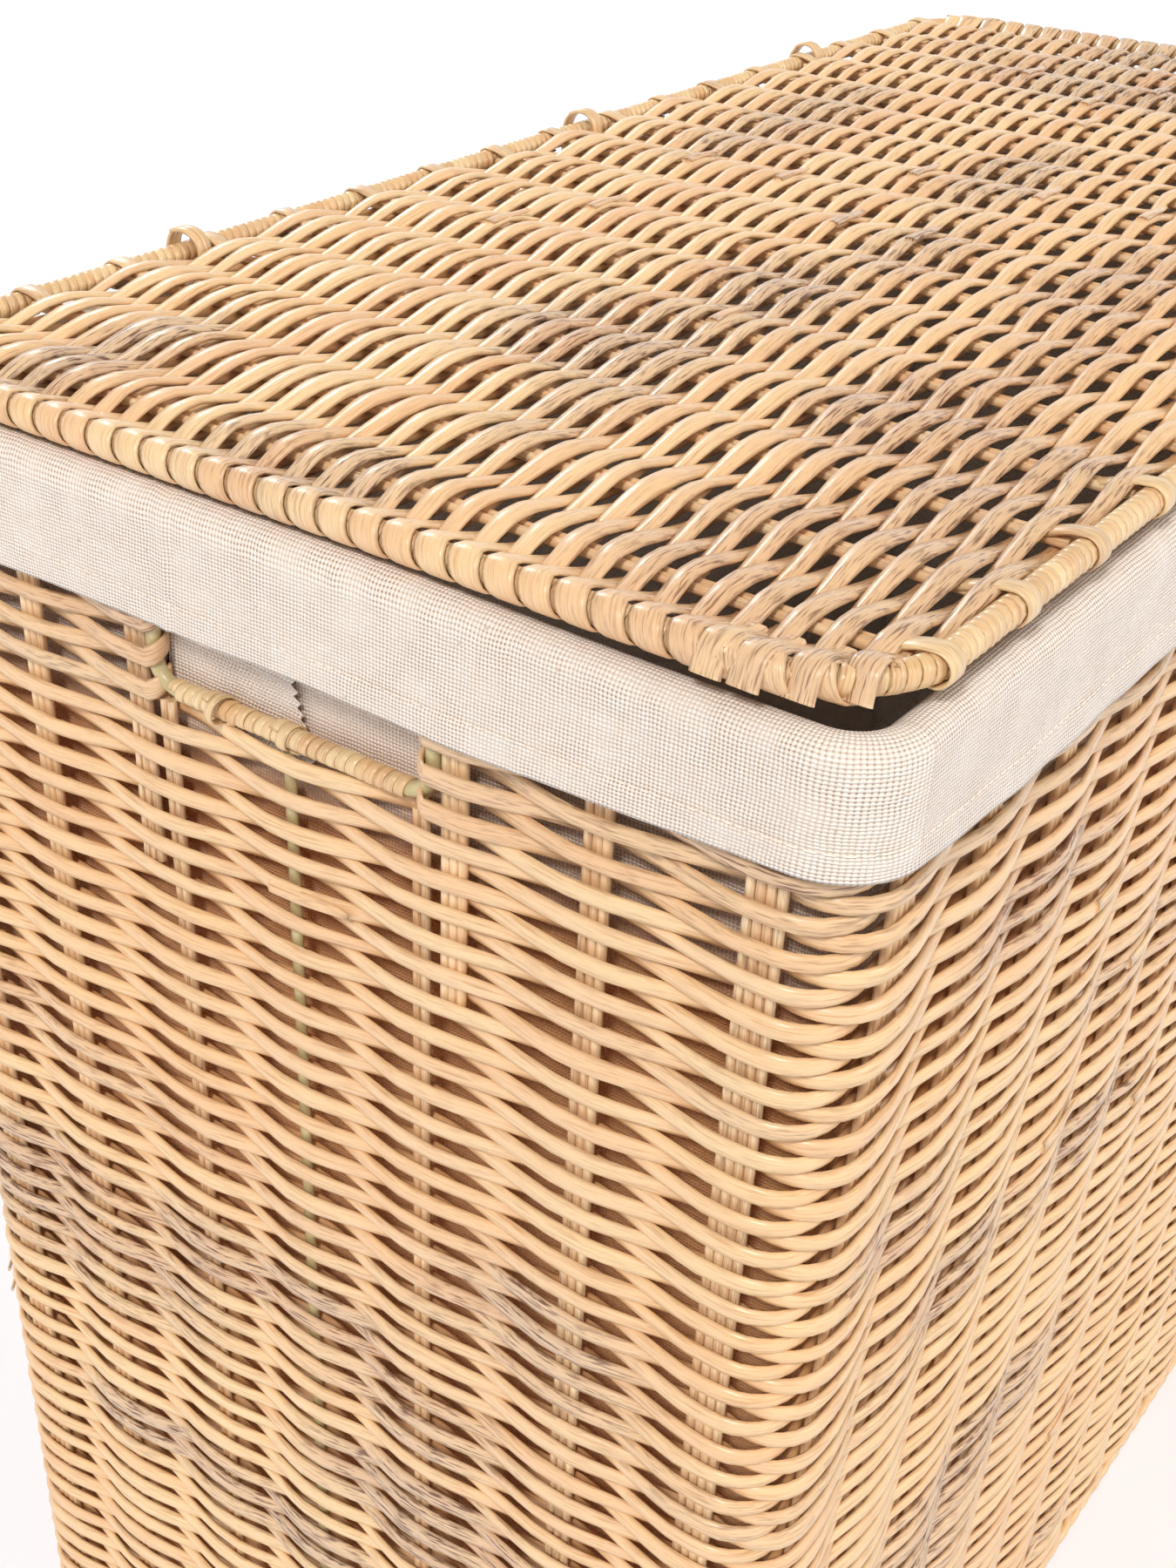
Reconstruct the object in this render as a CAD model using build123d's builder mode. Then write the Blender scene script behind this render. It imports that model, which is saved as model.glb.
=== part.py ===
from build123d import *
import math
import os

# Woven rattan laundry basket with a hinged woven lid and a cloth liner.
# Frame: origin at the middle of the footprint on the floor, +X along the long side,
# -Y is the front, +Y is the hinge side, +Z is up. All sizes are in millimetres.

# ---- driving dimensions: basket ----
rim_length = 702.0          # over the weave, at the rim
rim_width = 352.0
rim_height = 568.7          # centre of the rim wire
end_taper = 3.0             # each end leans in by this much from the rim to the floor
side_taper = 12.0           # each long side leans in by this much
corner_radius = 20.0

# ---- driving dimensions: lid ----
lid_setback = 1.0           # the lid's edge stands this far inside the rim
lid_lift = 15.2             # middle plane of the lid above the rim wire
lid_corner_radius = 36.0

# ---- reeds, wires and cloth ----
weaver_thickness = 2.6      # one flattened weaving reed
stick_diameter = 2.8        # one upright reed
layer_gap = 0.1             # between a stake and the weave on either side of it
frame_wire_diameter = 5.0   # rim and base wires
lid_wire_diameter = 6.0
slot_wire_diameter = 4.6    # bent wire under each hand slot
end_wire_diameter = 4.0     # upright wire in the middle of each end
binding_thickness = 1.5     # flat cane wound round a wire
fit_gap = 0.05              # between a wire and what is wound round it
cloth_thickness = 1.2
cloth_gap = 0.3             # between the cloth and the weave
joint_gap = 0.4             # between neighbouring pieces that only stand close

# ---- stakes and slots ----
front_groups = 15           # stake groups on each long side
corner_group_gap = 7.0      # from the end of a corner's curve to the group beside it
mid_group_place = 102.0     # the groups on an end, from its middle
group_sticks = 3
corner_group_sticks = 4     # the last group before each corner is stouter
short_pair_inset = 6.5      # the pair that stops under the slot wire, in from the slot's side
short_pair_sticks = 2
slot_half_width = 53.0
slot_wire_drop = 52.7       # slot wire below the rim wire
slot_bend_radius = 9.0
slot_wrap_inset = 13.0      # bare bend of the slot wire at each end of its winding
post_sticks = 3
post_length_below_slot = 62.0

# ---- foot, base and liner ----
foot_height = 8.0
foot_inset = 4.6            # base wire, in from the outside of the foot
base_lift = 1.5             # the base panel clears the floor by this much
base_groups = 15
cuff_drop = 37.0            # how far the cuff hangs below the top of the rim
lid_groups = 17
lid_group_pitch = 40.0
lid_group_sticks = 2

# ---- hinge loops ----
hinge_steps = (-4.5, 0.5, 4.5)   # places along the back, in stake spacings from the middle
loop_width = 9.0
loop_thickness = 2.2
loop_room = 7.4             # inner radius of a loop

# ---- worked out from the sizes above ----
stick_pitch = stick_diameter + fit_gap
short_pair_place = slot_half_width - short_pair_inset
slot_wrap_half_length = slot_half_width - slot_wrap_inset
first_group_inset = corner_radius + corner_group_gap
end_corner_place = rim_width / 2 - first_group_inset
end_group_places = (-end_corner_place, -mid_group_place, mid_group_place, end_corner_place)
base_length = rim_length - 2 * end_taper
base_width = rim_width - 2 * side_taper
lid_length = rim_length - 2 * lid_setback
lid_width = rim_width - 2 * lid_setback
lid_height = rim_height + lid_lift
slot_wire_height = rim_height - slot_wire_drop
wall = 2 * weaver_thickness + stick_diameter + 2 * layer_gap
stake_inset = wall / 2
rim_ring_radius = frame_wire_diameter / 2 + fit_gap + binding_thickness
rim_top = rim_height + rim_ring_radius
weave_bottom = foot_height + layer_gap
weave_top = rim_height - rim_ring_radius - layer_gap
stake_bottom = weave_bottom + joint_gap
stake_top = weave_top - joint_gap
group_spacing = (rim_length - 2 * first_group_inset) / (front_groups - 1)
bag_inset = wall + cloth_gap
bag_inner_inset = bag_inset + cloth_thickness
cuff_outset = cloth_gap + cloth_thickness
cloth_top = rim_top + layer_gap + cloth_thickness
cuff_bottom = cloth_top - cuff_drop
lid_wire_inset = lid_wire_diameter / 2 + binding_thickness
lid_ring_radius = lid_wire_inset
lid_panel_inset = lid_wire_inset + lid_ring_radius + 0.2
lid_half_thickness = wall / 2
hinge_y = lid_width / 2 - lid_wire_inset
hinge_places = [step * group_spacing for step in hinge_steps]
loop_outer_radius = loop_room + loop_thickness
loop_slot_width = loop_width + 2 * joint_gap
# where each hinge loop passes through the top of the back wall and the cloth
loop_slit_low = rim_height - loop_outer_radius - joint_gap
loop_slits = [(x, hinge_y, (loop_slit_low + rim_height) / 2) for x in hinge_places]
loop_slit_size = (loop_slot_width, 2 * (loop_outer_radius + wall), rim_height - loop_slit_low)


def length_at(height):
    """Length over the weave at a height: straight from the floor to the rim wire."""
    return base_length + (rim_length - base_length) * height / rim_height


def width_at(height):
    """Width over the weave at a height."""
    return base_width + (rim_width - base_width) * height / rim_height


def tapered_block(inset, low, high):
    """Solid that fills the basket's outline, moved in by inset, between two heights."""
    with BuildPart() as block:
        for height in (low, high):
            with BuildSketch(Plane.XY.offset(height)):
                RectangleRounded(
                    length_at(height) - 2 * inset,
                    width_at(height) - 2 * inset,
                    corner_radius - inset,
                )
        loft()
    return block.part


def tapered_shell(outer_inset, inner_inset, low, high):
    """Closed band that follows the leaning walls, between two insets and two heights."""
    outside = tapered_block(outer_inset, low, high)
    inside = tapered_block(inner_inset, low, high)
    with BuildPart() as shell:
        add(outside)
        add(inside, mode=Mode.SUBTRACT)
    return shell.part


def ring_path(length, width, radius, height):
    """Closed rounded rectangle that a wire follows."""
    with BuildSketch(Plane.XY.offset(height)) as outline:
        RectangleRounded(length, width, radius)
    return outline.wire()


def wire_ring(length, width, radius, height, outer_radius, inner_radius=0.0):
    """Round wire, or a hollow winding, that follows a rounded rectangle."""
    path = ring_path(length, width, radius, height)
    with BuildPart() as ring:
        with BuildSketch(Plane(origin=(0, -width / 2, height), z_dir=(1, 0, 0))):
            Circle(outer_radius)
            if inner_radius:
                Circle(inner_radius, mode=Mode.SUBTRACT)
        sweep(path=path)
    return ring.part


def wall_place(side, along, height):
    """Point in the stake layer of one wall. The outer groups fan in with the taper."""
    half_length = length_at(height) / 2
    half_width = width_at(height) / 2
    if side in ("front", "back"):
        x = along * length_at(height) / rim_length
        y = half_width - stake_inset
        return Vector(x, -y if side == "front" else y, height)
    y = along * width_at(height) / rim_width
    x = half_length - stake_inset
    return Vector(-x if side == "left" else x, y, height)


def stick_group(side, along, count, low, high):
    """Upright reeds that stand side by side in one wall, leaning as the wall leans."""
    foot = wall_place(side, along, low)
    head = wall_place(side, along, high)
    across = (1, 0, 0) if side in ("front", "back") else (0, 1, 0)
    leaning = head - foot
    with BuildPart() as group:
        with BuildSketch(Plane(origin=foot, x_dir=across, z_dir=leaning)):
            with GridLocations(stick_pitch, 0, count, 1):
                Circle(stick_diameter / 2)
        extrude(amount=leaning.length)
    return group.part


def sticks_in_group(place, places):
    """The group beside a corner has more reeds than the others."""
    return corner_group_sticks if place in (min(places), max(places)) else group_sticks


def finish_piece(piece, name):
    """Name a finished piece and write it to its own file."""
    piece.label = name
    export_step(piece, f"parts/{name}.step")


os.makedirs("parts", exist_ok=True)
slot_floor = slot_wire_height - slot_wire_diameter / 2 - binding_thickness - joint_gap
bar_x = length_at(slot_wire_height) / 2 - stake_inset

# ---- side weave: the outer and the inner runs of the weavers, with the stakes between ----
outer_runs = tapered_shell(0.0, weaver_thickness, weave_bottom, weave_top)
inner_runs = tapered_shell(wall - weaver_thickness, wall, weave_bottom, weave_top)
with BuildPart() as side_weave:
    add(outer_runs)
    add(inner_runs)
    # both hand slots, open up to the rim
    with BuildSketch(Plane.YZ):
        with Locations((0, (slot_floor + rim_height) / 2)):
            Rectangle(2 * slot_half_width, rim_height - slot_floor)
    extrude(amount=rim_length, both=True, mode=Mode.SUBTRACT)
    # room for the hinge loops under the rim wire
    with Locations(*loop_slits):
        Box(*loop_slit_size, mode=Mode.SUBTRACT)
finish_piece(side_weave.part, "side_weave")

# ---- upright stakes, in groups of reeds ----
group_places = [(i - (front_groups - 1) / 2) * group_spacing for i in range(front_groups)]
for side in ("front", "back"):
    with BuildPart() as long_stakes:
        for place in group_places:
            count = sticks_in_group(place, group_places)
            add(stick_group(side, place, count, stake_bottom, stake_top))
        if side == "back":
            with Locations(*loop_slits):
                Box(*loop_slit_size, mode=Mode.SUBTRACT)
    finish_piece(long_stakes.part, f"{side}_stakes")

for side in ("left", "right"):
    with BuildPart() as end_stakes:
        for place in end_group_places:
            count = sticks_in_group(place, end_group_places)
            add(stick_group(side, place, count, stake_bottom, stake_top))
        for place in (-short_pair_place, short_pair_place):
            add(stick_group(side, place, short_pair_sticks, stake_bottom, slot_floor - joint_gap))
    finish_piece(end_stakes.part, f"{side}_end_stakes")

# ---- slot posts: short reeds pushed in beside each hand slot ----
post_offset = slot_half_width + joint_gap + (post_sticks - 1) / 2 * stick_pitch + stick_diameter / 2
for side in ("left", "right"):
    with BuildPart() as slot_posts:
        for place in (-post_offset, post_offset):
            add(
                stick_group(
                    side,
                    place,
                    post_sticks,
                    slot_wire_height - post_length_below_slot,
                    stake_top,
                )
            )
    finish_piece(slot_posts.part, f"{side}_slot_posts")

# ---- slot wires: a bent wire under each hand slot, hung from the rim wire ----
leg_y = slot_half_width - slot_wire_diameter / 2 - joint_gap
leg_top = rim_height - rim_ring_radius - fit_gap
for side, sign in (("left", -1), ("right", 1)):
    with BuildPart() as slot_wire:
        with BuildLine() as slot_route:
            FilletPolyline(
                (sign * bar_x, -leg_y, leg_top),
                (sign * bar_x, -leg_y, slot_wire_height),
                (sign * bar_x, leg_y, slot_wire_height),
                (sign * bar_x, leg_y, leg_top),
                radius=slot_bend_radius,
            )
        with BuildSketch(Plane(origin=slot_route.line @ 0, z_dir=slot_route.line % 0)):
            Circle(slot_wire_diameter / 2)
        sweep()
    finish_piece(slot_wire.part, f"{side}_slot_wire")

    # cane wound round the level run of the slot wire, split where the end wire joins it
    with BuildPart() as slot_wrap:
        with BuildSketch(
            Plane(origin=(sign * bar_x, -slot_wrap_half_length, slot_wire_height), z_dir=(0, 1, 0))
        ):
            Circle(slot_wire_diameter / 2 + binding_thickness)
            Circle(slot_wire_diameter / 2 + fit_gap, mode=Mode.SUBTRACT)
        extrude(amount=2 * slot_wrap_half_length)
        with Locations((sign * bar_x, 0, slot_wire_height - slot_wire_diameter)):
            Cylinder(end_wire_diameter / 2 + fit_gap, slot_wire_diameter, mode=Mode.SUBTRACT)
    finish_piece(slot_wrap.part, f"{side}_slot_wrap")

    # upright wire in the middle of the end, from the base wire to the slot wire
    wire_foot = wall_place(side, 0, stake_bottom)
    wire_head = wall_place(side, 0, slot_wire_height - slot_wire_diameter / 2 - joint_gap)
    with BuildPart() as end_wire:
        with BuildSketch(Plane(origin=wire_foot, x_dir=(0, 1, 0), z_dir=wire_head - wire_foot)):
            # pressed a little flat, so that it lies in the stake layer
            Ellipse(end_wire_diameter / 2, stick_diameter / 2)
        extrude(amount=(wire_head - wire_foot).length)
    finish_piece(end_wire.part, f"{side}_end_wire")

# ---- rim: a wire hoop with cane wound round it ----
rim_inset = rim_ring_radius
rim_wire = wire_ring(
    rim_length - 2 * rim_inset,
    rim_width - 2 * rim_inset,
    corner_radius - rim_inset,
    rim_height,
    frame_wire_diameter / 2,
)
finish_piece(rim_wire, "rim_wire")
rim_binding = wire_ring(
    rim_length - 2 * rim_inset,
    rim_width - 2 * rim_inset,
    corner_radius - rim_inset,
    rim_height,
    rim_ring_radius,
    frame_wire_diameter / 2 + fit_gap,
)
finish_piece(rim_binding, "rim_binding")

# ---- foot: a braided border round a base wire ----
base_wire = wire_ring(
    base_length - 2 * foot_inset,
    base_width - 2 * foot_inset,
    corner_radius - foot_inset,
    foot_height / 2,
    frame_wire_diameter / 2,
)
finish_piece(base_wire, "base_wire")
base_wire_room = wire_ring(
    base_length - 2 * foot_inset,
    base_width - 2 * foot_inset,
    corner_radius - foot_inset,
    foot_height / 2,
    frame_wire_diameter / 2 + fit_gap,
)
with BuildPart() as foot_border:
    with BuildSketch():
        RectangleRounded(base_length, base_width, corner_radius)
        RectangleRounded(
            base_length - 4 * foot_inset,
            base_width - 4 * foot_inset,
            corner_radius - 2 * foot_inset,
            mode=Mode.SUBTRACT,
        )
    extrude(amount=foot_height)
    add(base_wire_room, mode=Mode.SUBTRACT)
finish_piece(foot_border.part, "foot_border")

# ---- base panel: two runs of weavers with the base stakes between ----
base_panel_length = base_length - 4 * foot_inset - 2 * joint_gap
base_panel_width = base_width - 4 * foot_inset - 2 * joint_gap
base_panel_radius = corner_radius - 2 * foot_inset - joint_gap
base_layers = (base_lift, base_lift + wall - weaver_thickness)
base_stake_height = base_lift + wall / 2
with BuildPart() as base_weave:
    for layer in base_layers:
        with BuildSketch(Plane.XY.offset(layer)):
            RectangleRounded(base_panel_length, base_panel_width, base_panel_radius)
        extrude(amount=weaver_thickness)
finish_piece(base_weave.part, "base_weave")

base_group_pitch = (base_panel_length - 2 * first_group_inset) / (base_groups - 1)
with BuildPart() as base_stakes:
    with BuildSketch(
        Plane(origin=(0, base_panel_width / 2, base_stake_height), x_dir=(1, 0, 0), z_dir=(0, -1, 0))
    ):
        with GridLocations(base_group_pitch, 0, base_groups, 1):
            with GridLocations(stick_pitch, 0, group_sticks, 1):
                Circle(stick_diameter / 2)
    extrude(amount=base_panel_width)
finish_piece(base_stakes.part, "base_stakes")

# ---- liner: bag, bottom and turned-down cuff, sewn from one cloth ----
bag_floor = base_lift + wall + cloth_gap
bag_top = cloth_top - cloth_thickness
bag_side = tapered_shell(bag_inset, bag_inner_inset, bag_floor + cloth_thickness, bag_top)
with BuildPart() as liner_bag:
    add(bag_side)
    with Locations(*loop_slits):
        Box(*loop_slit_size, mode=Mode.SUBTRACT)
finish_piece(liner_bag.part, "liner_bag")

with BuildPart() as liner_bottom:
    with BuildSketch(Plane.XY.offset(bag_floor)):
        RectangleRounded(
            length_at(bag_floor) - 2 * bag_inset,
            width_at(bag_floor) - 2 * bag_inset,
            corner_radius - bag_inset,
        )
    extrude(amount=cloth_thickness)
finish_piece(liner_bottom.part, "liner_bottom")

cuff_fold = tapered_shell(-cuff_outset, bag_inner_inset, bag_top, cloth_top)
cuff_skirt = tapered_shell(-cuff_outset, -cloth_gap, cuff_bottom, bag_top)
with BuildPart() as liner_cuff:
    add(cuff_fold)
    add(cuff_skirt)
    with Locations(*loop_slits):
        Box(*loop_slit_size, mode=Mode.SUBTRACT)
finish_piece(liner_cuff.part, "liner_cuff")

# ---- hinge loops: cane rings that tie the back of the lid to the rim ----
with BuildPart() as hinge_loops:
    for x in hinge_places:
        with BuildSketch(Plane(origin=(x - loop_width / 2, 0, 0), x_dir=(0, 1, 0), z_dir=(1, 0, 0))):
            for radius, mode in ((loop_outer_radius, Mode.ADD), (loop_room, Mode.SUBTRACT)):
                with Locations((hinge_y, (lid_height + rim_height) / 2)):
                    SlotCenterToCenter(lid_height - rim_height, 2 * radius, rotation=90, mode=mode)
        extrude(amount=loop_width)
finish_piece(hinge_loops.part, "hinge_loops")

# ---- lid frame: a bent wire with cane bindings ----
lid_path_length = lid_length - 2 * lid_wire_inset
lid_path_width = lid_width - 2 * lid_wire_inset
lid_path_radius = lid_corner_radius - lid_wire_inset
lid_wire = wire_ring(
    lid_path_length, lid_path_width, lid_path_radius, lid_height, lid_wire_diameter / 2
)
finish_piece(lid_wire, "lid_wire")

straight_half = lid_length / 2 - lid_corner_radius - 2 * joint_gap
for side, y in (("front", -lid_path_width / 2), ("back", lid_path_width / 2)):
    with BuildPart() as long_binding:
        with BuildSketch(Plane(origin=(-straight_half, y, lid_height), z_dir=(1, 0, 0))):
            Circle(lid_ring_radius)
            Circle(lid_wire_diameter / 2 + fit_gap, mode=Mode.SUBTRACT)
        extrude(amount=2 * straight_half)
    finish_piece(long_binding.part, f"lid_{side}_binding")

for side, sign in (("left", -1), ("right", 1)):
    corner_x = sign * (straight_half + joint_gap)
    end_x = sign * lid_path_length / 2
    end_y = lid_path_width / 2
    with BuildPart() as end_binding:
        with BuildLine() as end_route:
            FilletPolyline(
                (corner_x, -end_y, lid_height),
                (end_x, -end_y, lid_height),
                (end_x, end_y, lid_height),
                (corner_x, end_y, lid_height),
                radius=lid_path_radius,
            )
        with BuildSketch(Plane(origin=end_route.line @ 0, z_dir=end_route.line % 0)):
            Circle(lid_ring_radius)
            Circle(lid_wire_diameter / 2 + fit_gap, mode=Mode.SUBTRACT)
        sweep()
    finish_piece(end_binding.part, f"lid_{side}_end_binding")

# ---- lid panel: upper and lower runs of weavers with the lid stakes between ----
panel_length = lid_length - 2 * lid_panel_inset
panel_width = lid_width - 2 * lid_panel_inset
panel_radius = lid_corner_radius - lid_panel_inset
notch_depth = loop_outer_radius + 2 * joint_gap
with BuildPart() as lid_weave:
    for layer in (lid_height - lid_half_thickness, lid_height + lid_half_thickness - weaver_thickness):
        with BuildSketch(Plane.XY.offset(layer)):
            RectangleRounded(panel_length, panel_width, panel_radius)
            # notches that the hinge loops pass through
            with Locations(*[(x, hinge_y) for x in hinge_places]):
                Rectangle(loop_slot_width, 2 * notch_depth, mode=Mode.SUBTRACT)
        extrude(amount=weaver_thickness)
finish_piece(lid_weave.part, "lid_weave")

with BuildPart() as lid_stakes:
    for i in range(lid_groups):
        place = (i - (lid_groups - 1) / 2) * lid_group_pitch
        reach = abs(place) + lid_group_sticks * stick_pitch / 2 - (panel_length / 2 - panel_radius)
        corner_loss = 0.0
        if reach > 0:
            corner_loss = panel_radius - math.sqrt(panel_radius**2 - reach**2)
        stake_length = panel_width - 2 * corner_loss
        start = Plane(origin=(place, stake_length / 2, lid_height), x_dir=(1, 0, 0), z_dir=(0, -1, 0))
        with BuildSketch(start):
            with GridLocations(stick_pitch, 0, lid_group_sticks, 1):
                Circle(stick_diameter / 2)
        extrude(amount=stake_length)
    # room for the hinge loops
    with Locations(*[(x, hinge_y, lid_height) for x in hinge_places]):
        Box(loop_slot_width, 2 * notch_depth, wall, mode=Mode.SUBTRACT)
finish_piece(lid_stakes.part, "lid_stakes")

print("hinge axis at y", round(hinge_y, 2), "z", lid_height)
print("hinge places", [round(x, 2) for x in hinge_places])
print("cuff from", round(cuff_bottom, 2), "to", round(cloth_top, 2))
print("lid top", lid_height + lid_ring_radius, "weave", round(weave_bottom, 2), round(weave_top, 2))
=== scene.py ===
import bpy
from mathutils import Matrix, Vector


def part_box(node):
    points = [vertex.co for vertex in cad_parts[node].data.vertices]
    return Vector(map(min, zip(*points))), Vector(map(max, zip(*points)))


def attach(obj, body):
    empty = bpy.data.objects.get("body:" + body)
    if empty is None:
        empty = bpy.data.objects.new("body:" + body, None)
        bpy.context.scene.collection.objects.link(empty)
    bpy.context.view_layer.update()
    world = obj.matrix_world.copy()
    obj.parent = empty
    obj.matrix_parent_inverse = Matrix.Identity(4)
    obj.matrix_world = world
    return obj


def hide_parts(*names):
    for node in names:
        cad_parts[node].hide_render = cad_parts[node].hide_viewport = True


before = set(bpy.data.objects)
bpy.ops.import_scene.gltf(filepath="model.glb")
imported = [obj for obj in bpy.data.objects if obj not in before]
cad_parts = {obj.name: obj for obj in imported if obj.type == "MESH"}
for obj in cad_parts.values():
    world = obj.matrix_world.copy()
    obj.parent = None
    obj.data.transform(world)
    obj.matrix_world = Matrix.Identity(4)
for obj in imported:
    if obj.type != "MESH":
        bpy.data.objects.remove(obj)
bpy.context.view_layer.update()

# %% [markdown]
# # A woven laundry basket, reed by reed
#
# The basket is woven by hand from half-round rattan core over groups of thin round sticks. A cotton
# and linen bag hangs inside and is turned down over the rim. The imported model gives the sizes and
# the joint; this script weaves the reeds, winds the bindings and hangs the cloth round it.
# Each woven part is worked out as whole arrays: one path for every reed, and one cross section that
# is carried along all of the paths at once.

# %% Modules and the sizes that the frame gives
import math

import bpy
import numpy as np
from mathutils import Matrix, Vector

MM = 0.001


def corners(node):
    """Lowest and highest corner of a frame node, as arrays in metres."""
    low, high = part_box(node)
    return np.array(low), np.array(high)


foot_low, foot_high = corners("foot_border")
rim_low, rim_high = corners("rim_binding")
weave_low, weave_high = corners("side_weave")
base_length, base_width = (foot_high - foot_low)[:2]
rim_length, rim_width = (rim_high - rim_low)[:2]
rim_height = (rim_low[2] + rim_high[2]) / 2
up_axis = np.array([0.0, 0.0, 1.0])
print("rim", rim_length, rim_width, "at height", rim_height, "foot", base_length, base_width)

# %% Sizes of the reeds, cloth and wires
corner_radius = 20 * MM
wall_thickness = 8.2 * MM
stake_inset = wall_thickness / 2
reed_thickness = 2.6 * MM
reed_swing = 3.1 * MM          # how far a reed's middle swings out of the stake layer
corner_gap = 7 * MM            # from a corner's curve to the stakes beside it
front_groups = 15
mid_group = 102 * MM
short_pair = 46.5 * MM
post_middle = 57.05 * MM
slot_edge = 50.3 * MM          # middle of the bent wire's upright leg
rows_below_slot = 97
rows_beside_slot = 10
slot_low, slot_high = corners("left_slot_wrap")
slot_bar_height = (slot_low[2] + slot_high[2]) / 2
slot_bar_x = -(slot_low[0] + slot_high[0]) / 2
slot_floor = slot_low[2] - 0.4 * MM
print("hand slot bar at", slot_bar_x, slot_bar_height)

# %% [markdown]
# ## Meshes from grids
#
# Every new piece here is one or more grids of points. A grid's faces are always the same pattern of
# four corners, so they can be counted off with arrays. Each corner also carries data that the
# materials read: where it lies along and across the reed or the cloth, in metres. Corner data, not
# point data, is used because a closed ring has to read its full length where it meets its start.


# %% Grid and mesh helpers
def grid_corners(rows, columns, closed_rows=False, closed_columns=False):
    """Four corners of each face of a grid: vertex numbers, and the row and column before wrapping."""
    i = np.arange(rows if closed_rows else rows - 1)[:, None, None]
    j = np.arange(columns if closed_columns else columns - 1)[None, :, None]
    row, column = np.broadcast_arrays(i + np.array([0, 0, 1, 1]), j + np.array([0, 1, 1, 0]))
    vertex = (row % rows) * columns + column % columns
    return vertex.reshape(-1, 4), row.reshape(-1, 4), column.reshape(-1, 4)


def make_piece(name, body, material, parts, standing_for=()):
    """One mesh object from parts, each a tuple of vertices, faces and data for each face corner."""
    starts = np.cumsum([0] + [len(part[0]) for part in parts])
    vertices = np.concatenate([part[0] for part in parts])
    faces = np.concatenate([part[1] + start for part, start in zip(parts, starts)])
    mesh = bpy.data.meshes.new(name)
    mesh.from_pydata(vertices.tolist(), [], faces.tolist())
    for layer in parts[0][2]:
        values = np.concatenate([part[2][layer] for part in parts]).astype(np.float32)
        attribute = mesh.attributes.new(layer, "FLOAT_VECTOR", "CORNER")
        attribute.data.foreach_set("vector", values.ravel())
    mesh.shade_smooth()
    mesh.materials.append(material)
    piece = bpy.data.objects.new(name, mesh)
    bpy.context.scene.collection.objects.link(piece)
    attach(piece, body)
    if standing_for:
        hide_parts(*standing_for)
    print(name, "vertices", len(vertices), "triangles", 2 * len(faces))
    return piece


print("corners of a 3 by 4 grid's first face", grid_corners(3, 4)[0][0].tolist())

# %% [markdown]
# ## Unevenness
#
# Nothing woven by hand is even. Lengths, colours and folds all drift slowly from place to place, and
# a few sine waves that cross each other at random angles give that drift as one smooth formula.


# %% Directions and slow ripples
WAVES = 6
WAVES_PEAK = 2.6               # what the sum of the waves seldom passes


def unit(vectors):
    """Vectors divided by their lengths."""
    return vectors / np.linalg.norm(vectors, axis=-1, keepdims=True)


def ripples(points, size, seed, stretch=(1, 1, 1)):
    """Uneven field, about -1 to 1: a sum of sine waves through space, in seeded random directions."""
    rng = np.random.default_rng(seed)
    waves = unit(rng.normal(size=(WAVES, 3))) * rng.uniform(0.6, 1.5, (WAVES, 1)) * stretch
    angles = points @ waves.T * (2 * math.pi / size) + rng.uniform(0, 2 * math.pi, WAVES)
    return np.sin(angles).sum(-1) / WAVES_PEAK


def smooth_step(values, low, high):
    """0 below low, 1 above high, and an S-shaped rise between."""
    t = np.clip((values - low) / (high - low), 0, 1)
    return t * t * (3 - 2 * t)


print("a ripple at the origin", ripples(np.zeros(3), 1.0, 1))

# %% [markdown]
# ## Carrying a reed's section along its path
#
# Rattan core for weaving is split, so a reed is domed outside and nearly flat inside. Eight points
# are enough for that section once the faces are shaded smooth, and with over two thousand bights
# in the walls a lean section matters. The section is turned to stand square to the path at every
# point, with its dome towards the given outward direction.

# %% Section and sweep
half_round = np.array([
    (-0.5, -0.12), (-0.37, 0.3), (0, 0.5), (0.37, 0.3),
    (0.5, -0.12), (0.36, -0.44), (0, -0.5), (-0.36, -0.44),
])
flat_band = np.array([
    (-0.5, 0.05), (-0.4, 0.42), (0, 0.5), (0.4, 0.42),
    (0.5, 0.05), (0.42, -0.4), (0, -0.45), (-0.42, -0.4),
])
eighths = np.arange(8) * math.pi / 4
round_reed = 0.5 * np.stack([-np.cos(eighths), np.sin(eighths)], 1)
ring_cap = np.array([(0, 7, 2, 1), (7, 6, 3, 2), (6, 5, 4, 3)])
PATTERN_STEP = 0.37            # how far the fibre pattern moves from one reed to the next


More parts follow.
